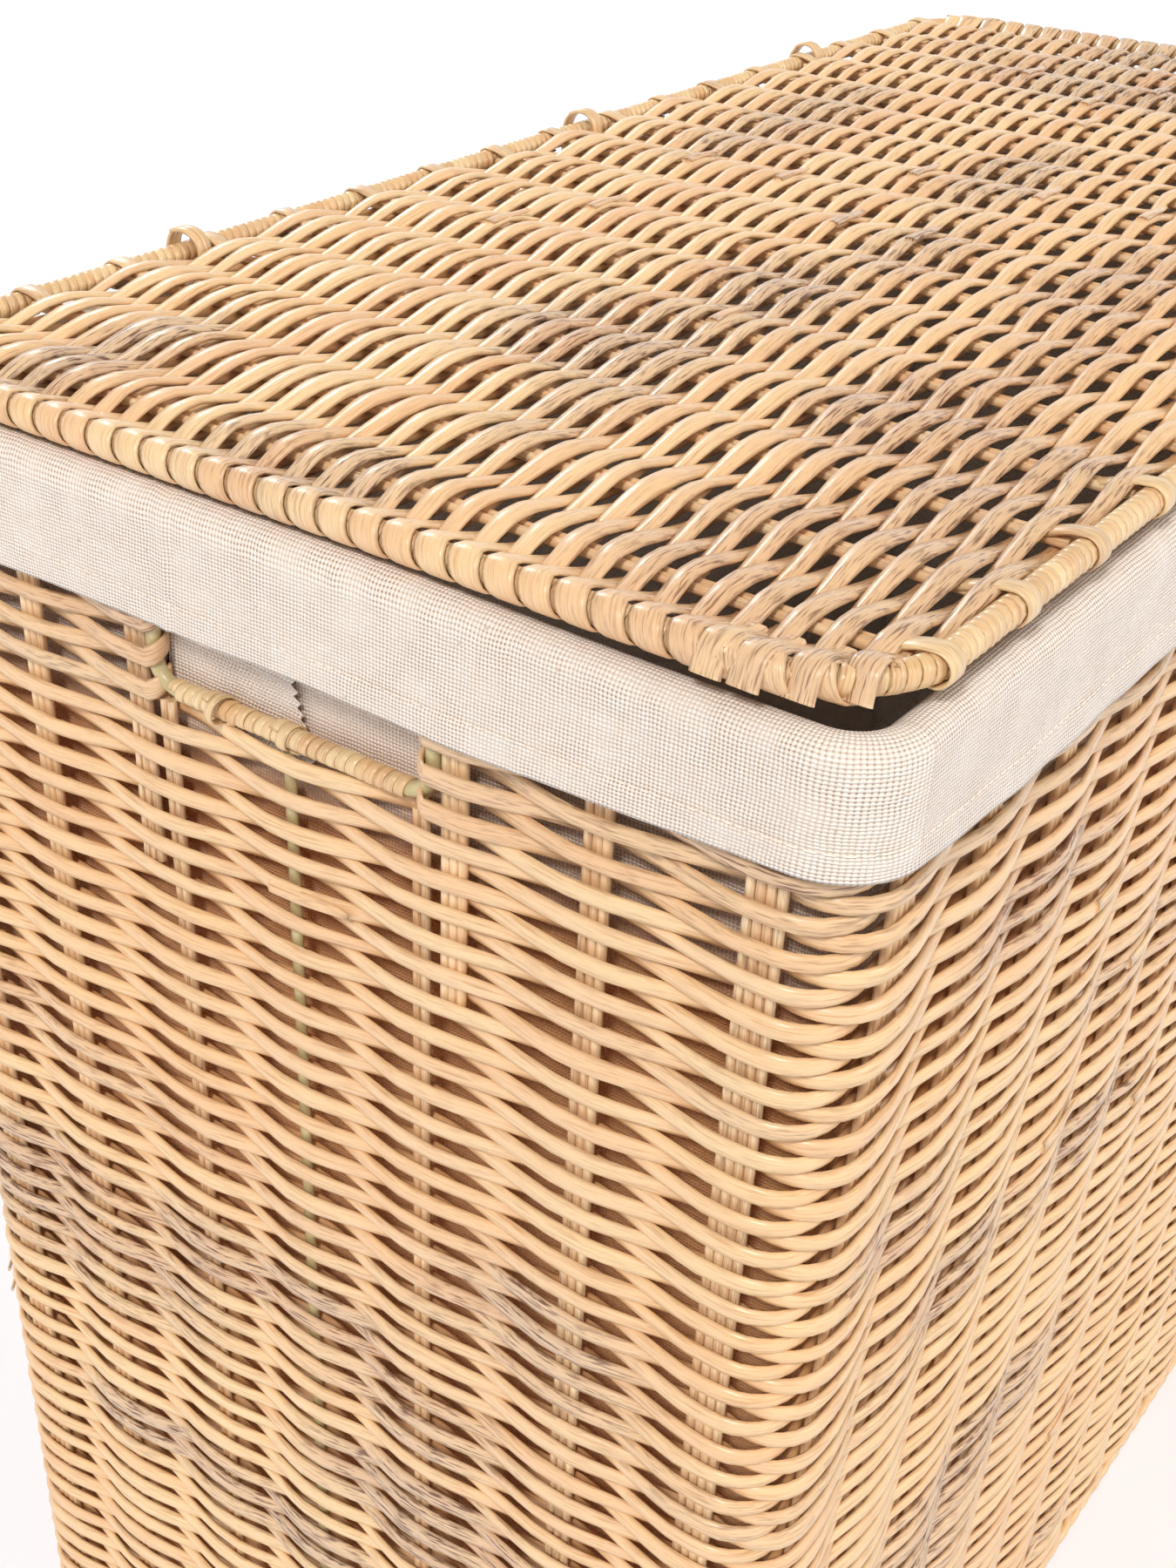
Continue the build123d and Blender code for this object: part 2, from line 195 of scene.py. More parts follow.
def sweep(points, outward, width, thickness, tone, closed, section=half_round, number=0):
    """Tubes with one section along many paths at once.

    points and outward are (paths, places, 3); width and thickness broadcast to (paths, places). A
    vertex is the path point, plus width times the section's first number sideways, plus thickness
    times its second number outward. tone is (paths, places, 3) and goes to the material as it is.
    An open path is closed by a cap of three faces at each end.
    """
    paths, places, _ = points.shape
    ring = len(section)
    width = np.broadcast_to(width, (paths, places))[..., None]
    thickness = np.broadcast_to(thickness, (paths, places))[..., None]
    if closed:
        ahead = np.roll(points, -1, 1) - np.roll(points, 1, 1)
    else:
        ahead = np.gradient(points, axis=1)
    side = unit(np.cross(ahead, outward))
    up = unit(np.cross(side, ahead))
    across = width * section[:, 0]
    rise = thickness * section[:, 1]
    vertices = points[:, :, None] + across[..., None] * side[:, :, None] + rise[..., None] * up[:, :, None]
    after = np.roll(points, -1, 1) if closed else points[:, 1:]
    steps = np.linalg.norm(after - points[:, : after.shape[1]], axis=-1)
    along = np.concatenate([np.zeros((paths, 1)), np.cumsum(steps, 1)], 1)
    vertex, row, column = grid_corners(places, ring, closed, True)
    if not closed:
        last = (places - 1) * ring
        caps = np.concatenate([ring_cap[:, ::-1], ring_cap + last])
        vertex = np.concatenate([vertex, caps])
        row = np.concatenate([row, np.repeat([0, places - 1], 3)[:, None] * np.ones((1, 4), int)])
        column = np.concatenate([column, caps % ring])
    faces = (np.arange(paths)[:, None, None] * places * ring + vertex).reshape(-1, 4)
    here = row % places
    grain = np.stack(
        [
            along[:, row],
            across[:, here, column % ring],
            np.broadcast_to((np.arange(paths) + number)[:, None, None] * PATTERN_STEP, (paths,) + row.shape),
        ],
        -1,
    )
    tone = np.broadcast_to(tone, (paths, places, 3))[:, here]
    data = {"grain": grain.reshape(-1, 4, 3), "tone": tone.reshape(-1, 4, 3)}
    return vertices.reshape(-1, 3), faces, data


print("section points", len(half_round), len(flat_band), len(round_reed))

# %% [markdown]
# ## Node helpers
#
# Colours are written as the hex numbers that a paint program shows. Cycles works in linear light,
# so one function turns them. One other function adds any node with its settings and its links.


# %% Colour and node helpers
def linear(hex_colour):
    """Linear RGBA of an sRGB hex colour: below 0.04045 divide by 12.92, else the 2.4 power curve."""
    srgb = np.array([int(hex_colour[i : i + 2], 16) for i in (1, 3, 5)]) / 255
    rgb = np.where(srgb <= 0.04045, srgb / 12.92, ((srgb + 0.055) / 1.055) ** 2.4)
    return (*rgb.tolist(), 1.0)


def add_node(material, kind, settings=None, **inputs):
    """A new node. settings are its properties; inputs are its sockets, by name or _number."""
    node = material.node_tree.nodes.new("ShaderNode" + kind)
    for key, value in (settings or {}).items():
        setattr(node, key, value)
    for key, value in inputs.items():
        socket = node.inputs[int(key[1:]) if key[0] == "_" else key.replace("_", " ")]
        if isinstance(value, bpy.types.NodeSocket):
            material.node_tree.links.new(value, socket)
        else:
            socket.default_value = value
    return node


def new_material(name):
    """An empty node material and its surface node."""
    material = bpy.data.materials.new(name)
    material.use_nodes = True
    return material, material.node_tree.nodes["Principled BSDF"]


def join(material, output, node, socket):
    """Links an output to a named socket of a node."""
    material.node_tree.links.new(output, node.inputs[socket])


def mixed(material, factor, a, b):
    """Output of a colour mix; a and b are sockets or linear colours."""
    node = add_node(material, "Mix", {"data_type": "RGBA"}, _0=factor, _6=a, _7=b)
    return node.outputs[2]


def ranged(material, value, from_low, from_high, to_low=0.0, to_high=1.0):
    """Output of a clamped change of range."""
    node = add_node(
        material, "MapRange", None, _0=value, _1=from_low, _2=from_high, _3=to_low, _4=to_high
    )
    return node.outputs[0]


print("the paint program's middle grey in linear light", linear("#808080")[0])

# %% [markdown]
# ## Rattan core
#
# The reeds are rattan core: the stem's inside, split and planed, honey to peach in colour, with fine
# dark pores drawn out along the fibre and a soft semi-gloss where it has been handled and wetted.
# Some canes are grey-brown and mottled. The fibre pattern follows the reed, so it reads the data
# that the sweep wrote: pores are about 0.7 mm wide and 17 mm long, and flecks 0.7 mm by 8 mm. Real
# pores are half as wide, which is too fine to show, so they are drawn that coarse.

# %% Rattan core materials
PORE = (60, 1400, 9)          # one over the pore's length and width, in metres
FLECK = (120, 1500, 9)
BLOTCH = (12, 90, 9)
honey = linear("#eecd9c")
peach = linear("#e9c59b")
pore_brown = linear("#b37632")
grey_straw = linear("#ceb091")
fleck_brown = linear("#6b4c40")
dark_tone_and_shade_amber = linear("#dd9248")


def fibre_noise(material, place, scale, detail=2.0):
    """Noise drawn out along the fibre: place is multiplied by one over the pattern's size."""
    stretched = add_node(material, "VectorMath", {"operation": "MULTIPLY"}, _0=place, _1=scale)
    noise = add_node(
        material, "TexNoise", None, Vector=stretched.outputs[0], Scale=1.0, Detail=detail, Roughness=0.6
    )
    return noise.outputs[0]


def rattan(name, place_of, tone_of, scales, gloss, light=honey, warm=peach):
    """Rattan finish, from light to warm by blotches, then pores, grey streaks, flecks, and last an
    amber mix for the reed's own darker tone and for painted shade in the recesses.

    place_of and tone_of give the pattern's place and the reed's own warmth, greyness and depth of
    colour; on the woven reeds the depth also holds painted shade where they pass under or behind
    others. scales are those of the pores, flecks and blotches. gloss is the lowest roughness.
    """
    material, surface = new_material(name)
    place = place_of(material)
    warmth, grey, depth = tone_of(material)
    pore = fibre_noise(material, place, scales[0], 4.0)
    fleck = fibre_noise(material, place, scales[1])
    blotch = fibre_noise(material, place, scales[2])
    blotched = add_node(material, "Math", {"operation": "ADD"}, _0=warmth, _1=blotch)
    colour = mixed(material, ranged(material, blotched.outputs[0], 0.45, 1.2), light, warm)
    colour = mixed(material, ranged(material, pore, 0.52, 0.74, 0.0, 0.65), colour, pore_brown)
    streaks = ranged(material, pore, 0.3, 0.6, 0.55, 1.0)
    streaked = add_node(material, "Math", {"operation": "MULTIPLY"}, _0=grey, _1=streaks)
    colour = mixed(material, streaked.outputs[0], colour, grey_straw)
    fleck_share = add_node(material, "Math", {"operation": "MULTIPLY_ADD"}, _0=grey, _1=1.1, _2=0.16)
    flecked = ranged(material, fleck, 0.5, 0.66)
    marks = add_node(material, "Math", {"operation": "MULTIPLY"}, _0=flecked, _1=fleck_share.outputs[0])
    colour = mixed(material, marks.outputs[0], colour, fleck_brown)
    # amber by depth: the reed's own darker tone, and painted shade where it lies in a recess
    colour = mixed(material, ranged(material, depth, 0.0, 1.0, 0.0, 0.7), colour, dark_tone_and_shade_amber)
    join(material, colour, surface, "Base Color")
    join(material, ranged(material, pore, 0.3, 0.75, gloss, gloss + 0.2), surface, "Roughness")
    surface.inputs["Coat Weight"].default_value = 0.35
    surface.inputs["Coat Roughness"].default_value = 0.22
    bump = add_node(material, "Bump", None, Strength=0.6, Distance=0.0002, Height=pore)
    join(material, bump.outputs[0], surface, "Normal")
    return material


def reed_place(material):
    """The place along, across and by number that the sweep wrote."""
    return add_node(material, "Attribute", {"attribute_name": "grain"}).outputs["Vector"]


def reed_tone(material):
    """Warmth, greyness and depth of colour that the sweep wrote; the depth holds painted shade too."""
    tone = add_node(material, "Attribute", {"attribute_name": "tone"}).outputs["Vector"]
    return add_node(material, "SeparateXYZ", None, Vector=tone).outputs


def stick_place(material):
    """Object coordinates."""
    return add_node(material, "TexCoord").outputs["Object"]


def stick_tone(material):
    """A stick's own colouring: noise that changes from one stick to the next, 3 mm away."""
    place = stick_place(material)
    scales = ((150, 150, 2), (230, 130, 3), (90, 210, 2))
    by_stick = [fibre_noise(material, place, scale, 0.0) for scale in scales]
    return (
        ranged(material, by_stick[0], 0.3, 0.7),
        ranged(material, by_stick[1], 0.45, 0.65, 0.0, 0.3),
        ranged(material, by_stick[2], 0.4, 0.7, 0.0, 0.25),
    )


weaver_core = rattan("rattan_core_weaver", reed_place, reed_tone, (PORE, FLECK, BLOTCH), 0.3)
upright_scales = ((1100, 1100, 40), (2000, 2000, 120), (90, 90, 8))
crosswise_scales = ((1100, 40, 1100), (2000, 120, 2000), (90, 8, 90))
stick_gloss = 0.45
stick_colours = (linear("#fadfb4"), linear("#ecc596"))
upright_core = rattan(
    "rattan_core_upright", stick_place, stick_tone, upright_scales, stick_gloss, *stick_colours
)
crosswise_core = rattan(
    "rattan_core_crosswise", stick_place, stick_tone, crosswise_scales, stick_gloss, *stick_colours
)
print("core finishes", weaver_core.name, upright_core.name, crosswise_core.name)

# %% [markdown]
# ## Cane peel and painted wire
#
# The bindings are cane: the skin of the same plant, peeled off in flat strips. It is paler, harder
# and glossier than the core, so it gets a thin clear coat. The frame wires are steel with a beige
# paint, which shows only at the bends of the slot wire and under the bindings.

# %% Cane and painted wire
cane_colours = (linear("#ecd2a2"), linear("#dfbd8c"))
cane_scales = ((90, 1500, 9), (150, 2400, 9), (40, 120, 9))
cane_peel = rattan("cane_peel", reed_place, reed_tone, cane_scales, 0.28, *cane_colours)
cane_surface = cane_peel.node_tree.nodes["Principled BSDF"]
cane_surface.inputs["Coat Weight"].default_value = 0.25
cane_surface.inputs["Coat Roughness"].default_value = 0.2


def painted_wire():
    """Steel wire with beige gloss paint: a plain paint colour, a little uneven from dipping."""
    material, surface = new_material("beige_painted_wire")
    place = add_node(material, "TexCoord").outputs["Object"]
    runs = add_node(material, "TexNoise", None, Vector=place, Scale=260.0, Detail=3.0)
    thin_paint = ranged(material, runs.outputs[0], 0.35, 0.7)
    colour = mixed(material, thin_paint, linear("#cdbd8d"), linear("#b5a274"))
    join(material, colour, surface, "Base Color")
    join(material, ranged(material, runs.outputs[0], 0.3, 0.7, 0.25, 0.42), surface, "Roughness")
    bump = add_node(material, "Bump", None, Strength=0.4, Distance=0.0002, Height=runs.outputs[0])
    join(material, bump.outputs[0], surface, "Normal")
    return material


beige_wire = painted_wire()
print("binding and wire finishes", cane_peel.name, beige_wire.name)

# %% [markdown]
# ## Linen and cotton cloth
#
# The bag is a plain weave: one thread over, one under, in both directions. Height is the product of
# two sine waves, one for each thread direction, so that every crossing is a small bump and a pinhole
# is left between four of them. The real threads lie 0.9 mm apart, which is too fine to show when the
# whole basket is in view, so they are drawn 1.15 mm apart. Thick places, called slubs, run along
# single threads and are a little lighter than the rest. The pinholes and the grooves between the
# threads get painted shade, and where the bag hangs behind the weave, an amber painted shade stands
# in for the dim light that the reeds colour there.

# %% Cloth material
THREAD = 1.15 * MM


def woven_cloth():
    """Ecru plain weave, matt, with slubs and painted shade in its pinholes and grooves. It reads the
    cloth's own flat place, and an amber painted shade from that place's third number.
    """
    material, surface = new_material("ecru_linen_cloth")
    place = add_node(material, "Attribute", {"attribute_name": "cloth"}).outputs["Vector"]
    wander = add_node(material, "TexNoise", None, Vector=place, Scale=120.0, Detail=2.0)
    wavering = add_node(
        material, "VectorMath", {"operation": "MULTIPLY_ADD"},
        _0=wander.outputs["Color"], _1=(0.0012, 0.0012, 0.0), _2=place,
    )
    counted = add_node(
        material, "VectorMath", {"operation": "SCALE"}, _0=wavering.outputs[0], Scale=math.pi / THREAD
    )
    waves = add_node(material, "VectorMath", {"operation": "SINE"}, _0=counted.outputs[0])
    crests = add_node(material, "VectorMath", {"operation": "ABSOLUTE"}, _0=waves.outputs[0])
    parts = add_node(material, "SeparateXYZ", None, Vector=crests.outputs[0]).outputs
    crossing = add_node(material, "Math", {"operation": "MULTIPLY"}, _0=parts[0], _1=parts[1])
    widest = add_node(material, "Math", {"operation": "MAXIMUM"}, _0=parts[0], _1=parts[1])
    slubs = [fibre_noise(material, place, scale, 1.0) for scale in ((60, 900, 1), (900, 60, 1))]
    slub = add_node(material, "Math", {"operation": "MAXIMUM"}, _0=slubs[0], _1=slubs[1])
    openness = fibre_noise(material, place, (60, 60, 1), 3.0)
    colour = mixed(
        material, ranged(material, slub.outputs[0], 0.5, 0.75), linear("#fff0e1"), linear("#fff7ee")
    )
    hole = ranged(material, widest.outputs[0], 0.42, 0.74, 1.0, 0.0)
    open_share = ranged(material, openness, 0.35, 0.6, 0.35, 1.0)
    hole_share = add_node(material, "Math", {"operation": "MULTIPLY"}, _0=hole, _1=open_share)
    # painted shade: the pinholes are coloured as the dark behind the cloth
    colour = mixed(material, hole_share.outputs[0], colour, linear("#8a6a50"))
    # painted shade along the grooves between the threads
    groove = ranged(material, crossing.outputs[0], 0.0, 0.6, 0.3, 0.0)
    colour = mixed(material, groove, colour, linear("#c3a68c"))
    # painted shade: amber by the shade number, where the bag hangs behind the weave
    in_shade = add_node(material, "SeparateXYZ", None, Vector=place).outputs[2]
    colour = mixed(material, ranged(material, in_shade, 0.0, 1.0, 0.0, 0.9), colour, linear("#e6983f"))
    specks = add_node(material, "TexNoise", None, Vector=place, Scale=420.0, Detail=1.0)
    colour = mixed(
        material, ranged(material, specks.outputs[0], 0.74, 0.8, 0.0, 0.5), colour, linear("#b98e5f")
    )
    join(material, colour, surface, "Base Color")
    surface.inputs["Roughness"].default_value = 0.85
    surface.inputs["Sheen Weight"].default_value = 0.25
    surface.inputs["Sheen Roughness"].default_value = 0.5
    height = add_node(
        material, "Math", {"operation": "MULTIPLY_ADD"}, _0=slub.outputs[0], _1=0.6, _2=crossing.outputs[0]
    )
    bump = add_node(material, "Bump", None, Strength=0.9, Distance=0.0005, Height=height.outputs[0])
    join(material, bump.outputs[0], surface, "Normal")
    return material


linen = woven_cloth()
print("cloth finish", linen.name, "threads apart", THREAD)

# %% [markdown]
# ## The outline of the walls
#
# The walls follow a rectangle with rounded corners that grows a little from the floor to the rim.
# One number, the distance along the rim, names a place on it: along a straight side the corner's
# centre slides and the direction stays; round a corner the centre stays and the direction turns.
# Centre and direction both change evenly between eight knots, so three interpolations give the
# whole outline, at any height and any depth in the wall.

# %% Outline of the walls
def outline_knots(straight_x, straight_y, corner_arc):
    """Distances along a rounded rectangle at which a side or a corner ends, from the front's left."""
    return np.cumsum([0] + [straight_x, corner_arc, straight_y, corner_arc] * 2)


def outline_place(along, knots):
    """Corner centre, in half sizes, and outward direction at a distance along a rounded rectangle."""
    side_x = np.interp(along, knots, [-1, 1, 1, 1, 1, -1, -1, -1, -1])
    side_y = np.interp(along, knots, [-1, -1, -1, 1, 1, 1, 1, -1, -1])
    turn = np.radians(np.interp(along, knots, [-90, -90, 0, 0, 90, 90, 180, 180, 270]))
    return side_x, side_y, np.stack([np.cos(turn), np.sin(turn), np.zeros_like(turn)], -1)


straight_x = rim_length - 2 * corner_radius
straight_y = rim_width - 2 * corner_radius
corner_arc = math.pi / 2 * (corner_radius - stake_inset)
knots = outline_knots(straight_x, straight_y, corner_arc)
all_round = knots[-1]


def length_at(height):
    """Length over the weave at a height: a straight line from foot to rim."""
    return base_length + (rim_length - base_length) * height / rim_height


def width_at(height):
    """Width over the weave at a height."""
    return base_width + (rim_width - base_width) * height / rim_height


def wall_point(along, height, out):
    """Place and outward direction: the corner's centre plus the radius times the direction."""
    side_x, side_y, outward = outline_place(np.mod(along, all_round), knots)
    reach = corner_radius - stake_inset + out
    x = side_x * (length_at(height) / 2 - corner_radius) + reach * outward[..., 0]
    y = side_y * (width_at(height) / 2 - corner_radius) + reach * outward[..., 1]
    return np.stack([x, y, np.broadcast_to(height, x.shape)], -1), outward


def side_place(side, across):
    """Distance along the rim of a place on one side; across is its x or y."""
    return {
        "front": knots[0] + straight_x / 2 + across,
        "right": knots[2] + straight_y / 2 + across,
        "back": knots[4] + straight_x / 2 - across,
        "left": knots[6] + straight_y / 2 - across,
    }[side]


group_x = (rim_length / 2 - corner_radius - corner_gap) * np.linspace(-1, 1, front_groups)
corner_group = rim_width / 2 - corner_radius - corner_gap
end_places = np.array([-corner_group, -mid_group, -short_pair, 0, short_pair, mid_group, corner_group])
stakes = np.concatenate([
    side_place("front", group_x), side_place("right", end_places),
    side_place("back", -group_x), side_place("left", -end_places),
])
print("stake groups round the basket", len(stakes), "outline", all_round)

# %% [markdown]
# ## Weaving the walls
#
# A reed goes outside one group of sticks and inside the next. A pure cosine of the number of groups
# passed looks too soft, and a zigzag too sharp, so its swing in and out is half of each, with the
# zigzag's tips cut flat where the reed presses on the sticks. The next row swings the other way.
# There are 44 groups, an even number, so each row closes on itself.
# Hand weaving is never even: every row sits a little high or low, every bight stands out a little
# more or less, and all of that comes from seeded random numbers.

# %% How a reed swings, and its colouring
SAMPLES = 8                    # places along a reed from one group to the next
CORNER_SAMPLES = 12
ZIGZAG_CUT = 1.35              # height of the zigzag whose tips are cut at 1


def arch(phase):
    """Swing of a reed: half a cosine and half a straight zigzag with its tips cut flat."""
    zigzag = 1 - 2 * np.abs(np.mod(phase, 2) - 1)
    return 0.5 * np.cos(math.pi * phase) - 0.5 * np.clip(ZIGZAG_CUT * zigzag, -1, 1)


def between(places, closed_length=None):
    """Places along the rim with their phase, with more samples where a corner is passed."""
    ends = np.append(places, places[0] + closed_length) if closed_length else places
    corner_middles = knots[[1, 3, 5, 7]] + corner_arc / 2
    spots, phases = [], []
    for k in range(len(ends) - 1):
        samples = SAMPLES
        if np.any((ends[k] < corner_middles) & (corner_middles < ends[k + 1])):
            samples = CORNER_SAMPLES
        share = np.arange(samples) / samples
        spots.append(ends[k] + share * (ends[k + 1] - ends[k]))
        phases.append(k + share)
    if not closed_length:
        spots.append(ends[-1:])
        phases.append(np.array([len(ends) - 1.0]))
    return np.concatenate(spots), np.concatenate(phases)


def bight_jitter(rng, rows, phase, spread):
    """One random number for each row and stick group, blended smoothly from group to group."""
    count = int(phase.max()) + 3
    values = rng.normal(0, spread, (rows, count))
    low = np.floor(phase + 0.5).astype(int)
    t = smooth_step(phase + 0.5 - low, 0, 1)
    values[:, -2:] = values[:, :2]
    here = np.clip(low, 0, count - 1)
    following = np.clip(here + 1, 0, count - 1)
    return values[:, here] * (1 - t) + values[:, following] * t


# %% Greyness and colouring of the reeds
# grey-brown canes show as patches: middle of the patch, and its half sizes, in millimetres
grey_patches = [
    ((-350, 106, 272), (60, 70, 26)),
    ((-350, 18, 306), (60, 60, 16)),
    ((-350, -40, 290), (60, 46, 18)),
    ((-350, -90, 350), (60, 46, 22)),
    ((-350, -55, 240), (60, 60, 22)),
    ((-350, 40, 190), (60, 80, 16)),
    ((-350, -120, 180), (60, 60, 30)),
    ((-300, -150, 548), (140, 70, 16)),
    ((-350, 110, 545), (60, 60, 12)),
    ((-244, -172, 340), (50, 60, 18)),
    ((-146, -172, 330), (60, 60, 16)),
    ((-290, -172, 400), (40, 60, 14)),
    ((-190, -172, 214), (90, 60, 24)),
    ((-235, -172, 480), (50, 60, 14)),
    ((180, -170, 430), (130, 60, 34)),
    ((250, -170, 180), (130, 60, 44)),
    ((350, 40, 360), (60, 130, 40)),
    ((-60, 170, 400), (190, 60, 40)),
    ((120, 170, 200), (160, 60, 50)),
]


def greyness(points, patches, seed):
    """How grey a reed is: near a patch's middle, broken up by ripples."""
    total = np.zeros(points.shape[:-1])
    for middle, size in patches:
        distance = np.linalg.norm((points - np.array(middle) * MM) / (np.array(size) * MM), axis=-1)
        total = np.maximum(total, smooth_step(-distance, -1.3, -0.5))
    loose = smooth_step(ripples(points, 0.4, seed, (1, 1, 5)), 0.6, 1.2)
    return np.clip(total + 0.7 * loose, 0, 1) * (0.75 + 0.25 * ripples(points, 0.06, seed + 1))


def reed_tones(rng, points, patches, seed):
    """Warmth, greyness and depth of colour of every place on every reed."""
    rows = points.shape[0]
    warmth = rng.uniform(0.1, 0.5, (rows, 1)) + 0.2 * ripples(points, 0.3, seed + 2)
    depth = rng.uniform(0, 0.35, (rows, 1)) ** 1.5 + 0.08 * (1 + ripples(points, 0.25, seed + 3))
    grey = np.clip(greyness(points, patches, seed) * rng.uniform(0.6, 1.5, (rows, 1)), 0, 1)
    return np.stack([np.broadcast_to(warmth, grey.shape), grey, np.broadcast_to(depth, grey.shape)], -1)


print("grey patches on the walls", len(grey_patches), "arch at 0, a half and 1", arch(np.array([0, 0.5, 1])))


# %% Full rows, from the foot to the hand slots
row_pitch = (slot_floor - weave_low[2]) / rows_below_slot


def wall_rows(first, last, seed):
    """Closed rows number first to last - 1, as one part for a piece."""
    rng = np.random.default_rng(seed)
    row = np.arange(first, last)[:, None]
    rows = last - first
    height = weave_low[2] + (row + 0.5) * row_pitch
    along, phase = between(stakes, all_round)
    swing = arch(phase + row)
    level, _ = wall_point(along, height, 0 * height)
    below_slot = np.clip((slot_floor - height) / (30 * MM), 0, 1)
    settle = below_slot * np.clip((height - weave_low[2]) / (20 * MM), 0, 1)
    rise = 0.9 * MM * settle * ripples(level, 0.28, 11, (1, 1, 2))
    rise = rise + rng.normal(0, 0.22 * MM, (rows, 1)) + bight_jitter(rng, rows, phase, 0.35 * MM) * swing
    out = swing * (reed_swing + np.abs(bight_jitter(rng, rows, phase, 0.35 * MM)))
    points, outward = wall_point(along, height + rise, out)
    lean = bight_jitter(rng, rows, phase, 0.12) - 0.1 * np.abs(swing)
    outward = outward + lean[..., None] * up_axis
    low_down = 1 - height / slot_floor
    width = (4.9 + 0.5 * low_down + (1.3 + 1.7 * low_down) * np.clip(swing, 0, 1)) * MM
    width = width + rng.normal(0, 0.16 * MM, (rows, 1))
    tone = reed_tones(rng, points, grey_patches, 21)
    # painted shade: a reed is darker where it swings in behind the sticks
    tone[..., 2] += 0.5 * np.clip(-swing, 0, 1)
    return sweep(points, outward, width, reed_thickness, tone, True, number=first)


bands = np.linspace(0, rows_below_slot, 5).astype(int)
for band, name in enumerate(("foot", "low", "middle", "high")):
    part = wall_rows(bands[band], bands[band + 1], 100 + band)
    make_piece(f"woven_wall_{name}", "basket", weaver_core, [part], ["side_weave"])

# %% [markdown]
# ## Rows beside the hand slots
#
# Above the floor of a slot a row can't go all round. The reed turns back round the posts and the
# leg of the slot wire, so two rows make one long loop: out along the wall as an outside row, a half
# turn, and back as the row above, which is inside wherever the first was outside.


# %% Looped rows beside the slots
def looped_rows(facing, seed):
    """Loops on the front or the back half of the walls, as one part.

    A loop is an outer run, a half turn, an inner run one pitch higher and a half turn. level rises
    from 0 on the outer run to 1 on the inner. turn_share is 1 at a half turn and falls off beside it.
    """
    rng = np.random.default_rng(seed)
    half = np.array([post_middle, mid_group, corner_group])
    if facing == "front":
        places = np.concatenate([
            side_place("left", -half) - all_round, side_place("front", group_x),
            side_place("right", -half[::-1]),
        ])
    else:
        places = np.concatenate([
            side_place("right", half), side_place("back", -group_x), side_place("left", half[::-1]),
        ])
    along, phase = between(places)
    loops = rows_beside_slot // 2
    row = 2 * np.arange(loops)[:, None]
    pitch = (weave_high[2] - slot_floor) / rows_beside_slot
    height = slot_floor + (row + 0.5) * pitch
    post_reach = post_middle - slot_edge
    turns = np.linspace(0, 1, 9)[1:-1]
    end_shift = post_reach + reed_swing * np.sin(math.pi * turns)
    near_end, far_end = [along[0] - post_reach], [along[-1] + post_reach]
    along_loop = np.concatenate([
        near_end, along, far_end, along[-1] + end_shift,
        far_end, along[::-1], near_end, along[0] - end_shift[::-1],
    ])
    one = np.ones(1)
    half_turn = np.cos(math.pi * turns)
    swing_loop = np.concatenate([
        one, arch(phase), one, half_turn, -one, -arch(phase[::-1]), -one, -half_turn,
    ])
    level = np.concatenate([0 * one, 0 * phase, 0 * one, turns, one, 0 * phase + 1, one, 1 - turns])
    beside_turn = np.exp(-((phase / 0.5) ** 2)) + np.exp(-(((phase[-1] - phase) / 0.5) ** 2))
    full = 0 * turns + 1
    turn_share = np.concatenate([one, beside_turn, one, full])
    turn_share = np.concatenate([turn_share, one, turn_share[1:-1 - len(turns)][::-1], one, full])
    heights = height + pitch * level[None, :] + rng.normal(0, 0.2 * MM, (loops, 1))
    swing = np.broadcast_to(swing_loop, heights.shape)
    out = swing * (reed_swing + 0.7 * MM * turn_share)
    points, outward = wall_point(np.broadcast_to(along_loop, heights.shape), heights, out)
    # on the half turns the dome faces away from the turn's middle
    tangent = np.gradient(points, axis=1)
    flat_normal = np.stack([tangent[..., 1], -tangent[..., 0], 0 * tangent[..., 2]], -1)
    turning = ((level > 0) & (level < 1))[None, :, None]
    outward = np.where(turning, flat_normal, outward)
    width = (5.1 + 1.3 * turn_share) * MM + rng.normal(0, 0.15 * MM, (loops, 1))
    thickness = (2.6 - 0.7 * turn_share) * MM
    tone = reed_tones(rng, points, grey_patches, 41)
    tone[..., 1] = np.clip(tone[..., 1] + 0.25 + 0.1 * np.arange(loops)[:, None], 0, 0.8)
    return sweep(points, outward, width, thickness, tone, True, number=200)


for facing, seed in (("front", 61), ("back", 62)):
    part = looped_rows(facing, seed)
    make_piece(f"woven_rim_rows_{facing}", "basket", weaver_core, [part], ["side_weave"])

# %% [markdown]
# ## The lid's panel
#
# The lid is a bent wire frame with one long reed woven to and fro over pairs of sticks. At each end
# the reed goes over the wire, round it and back underneath, pressed flat as it turns, so every two
# rows share one wrap. The whole panel is one path: rows joined by half turns.

# %% Sizes of the lid
wire_low, wire_high = corners("lid_wire")
lid_height = (wire_low[2] + wire_high[2]) / 2
lid_wire_radius = (wire_high[2] - wire_low[2]) / 2
wire_half_x = wire_high[0] - lid_wire_radius
wire_half_y = wire_high[1] - lid_wire_radius
wire_bend = 31.5 * MM
panel_half_y = corners("lid_weave")[1][1] - 0.5 * MM
lid_rows = 64
lid_groups = 17
lid_pitch = 40 * MM
lid_group_x = lid_pitch * (np.arange(lid_groups) - (lid_groups - 1) / 2)
print("lid wire", wire_half_x, wire_half_y, "radius", lid_wire_radius, "height", lid_height)

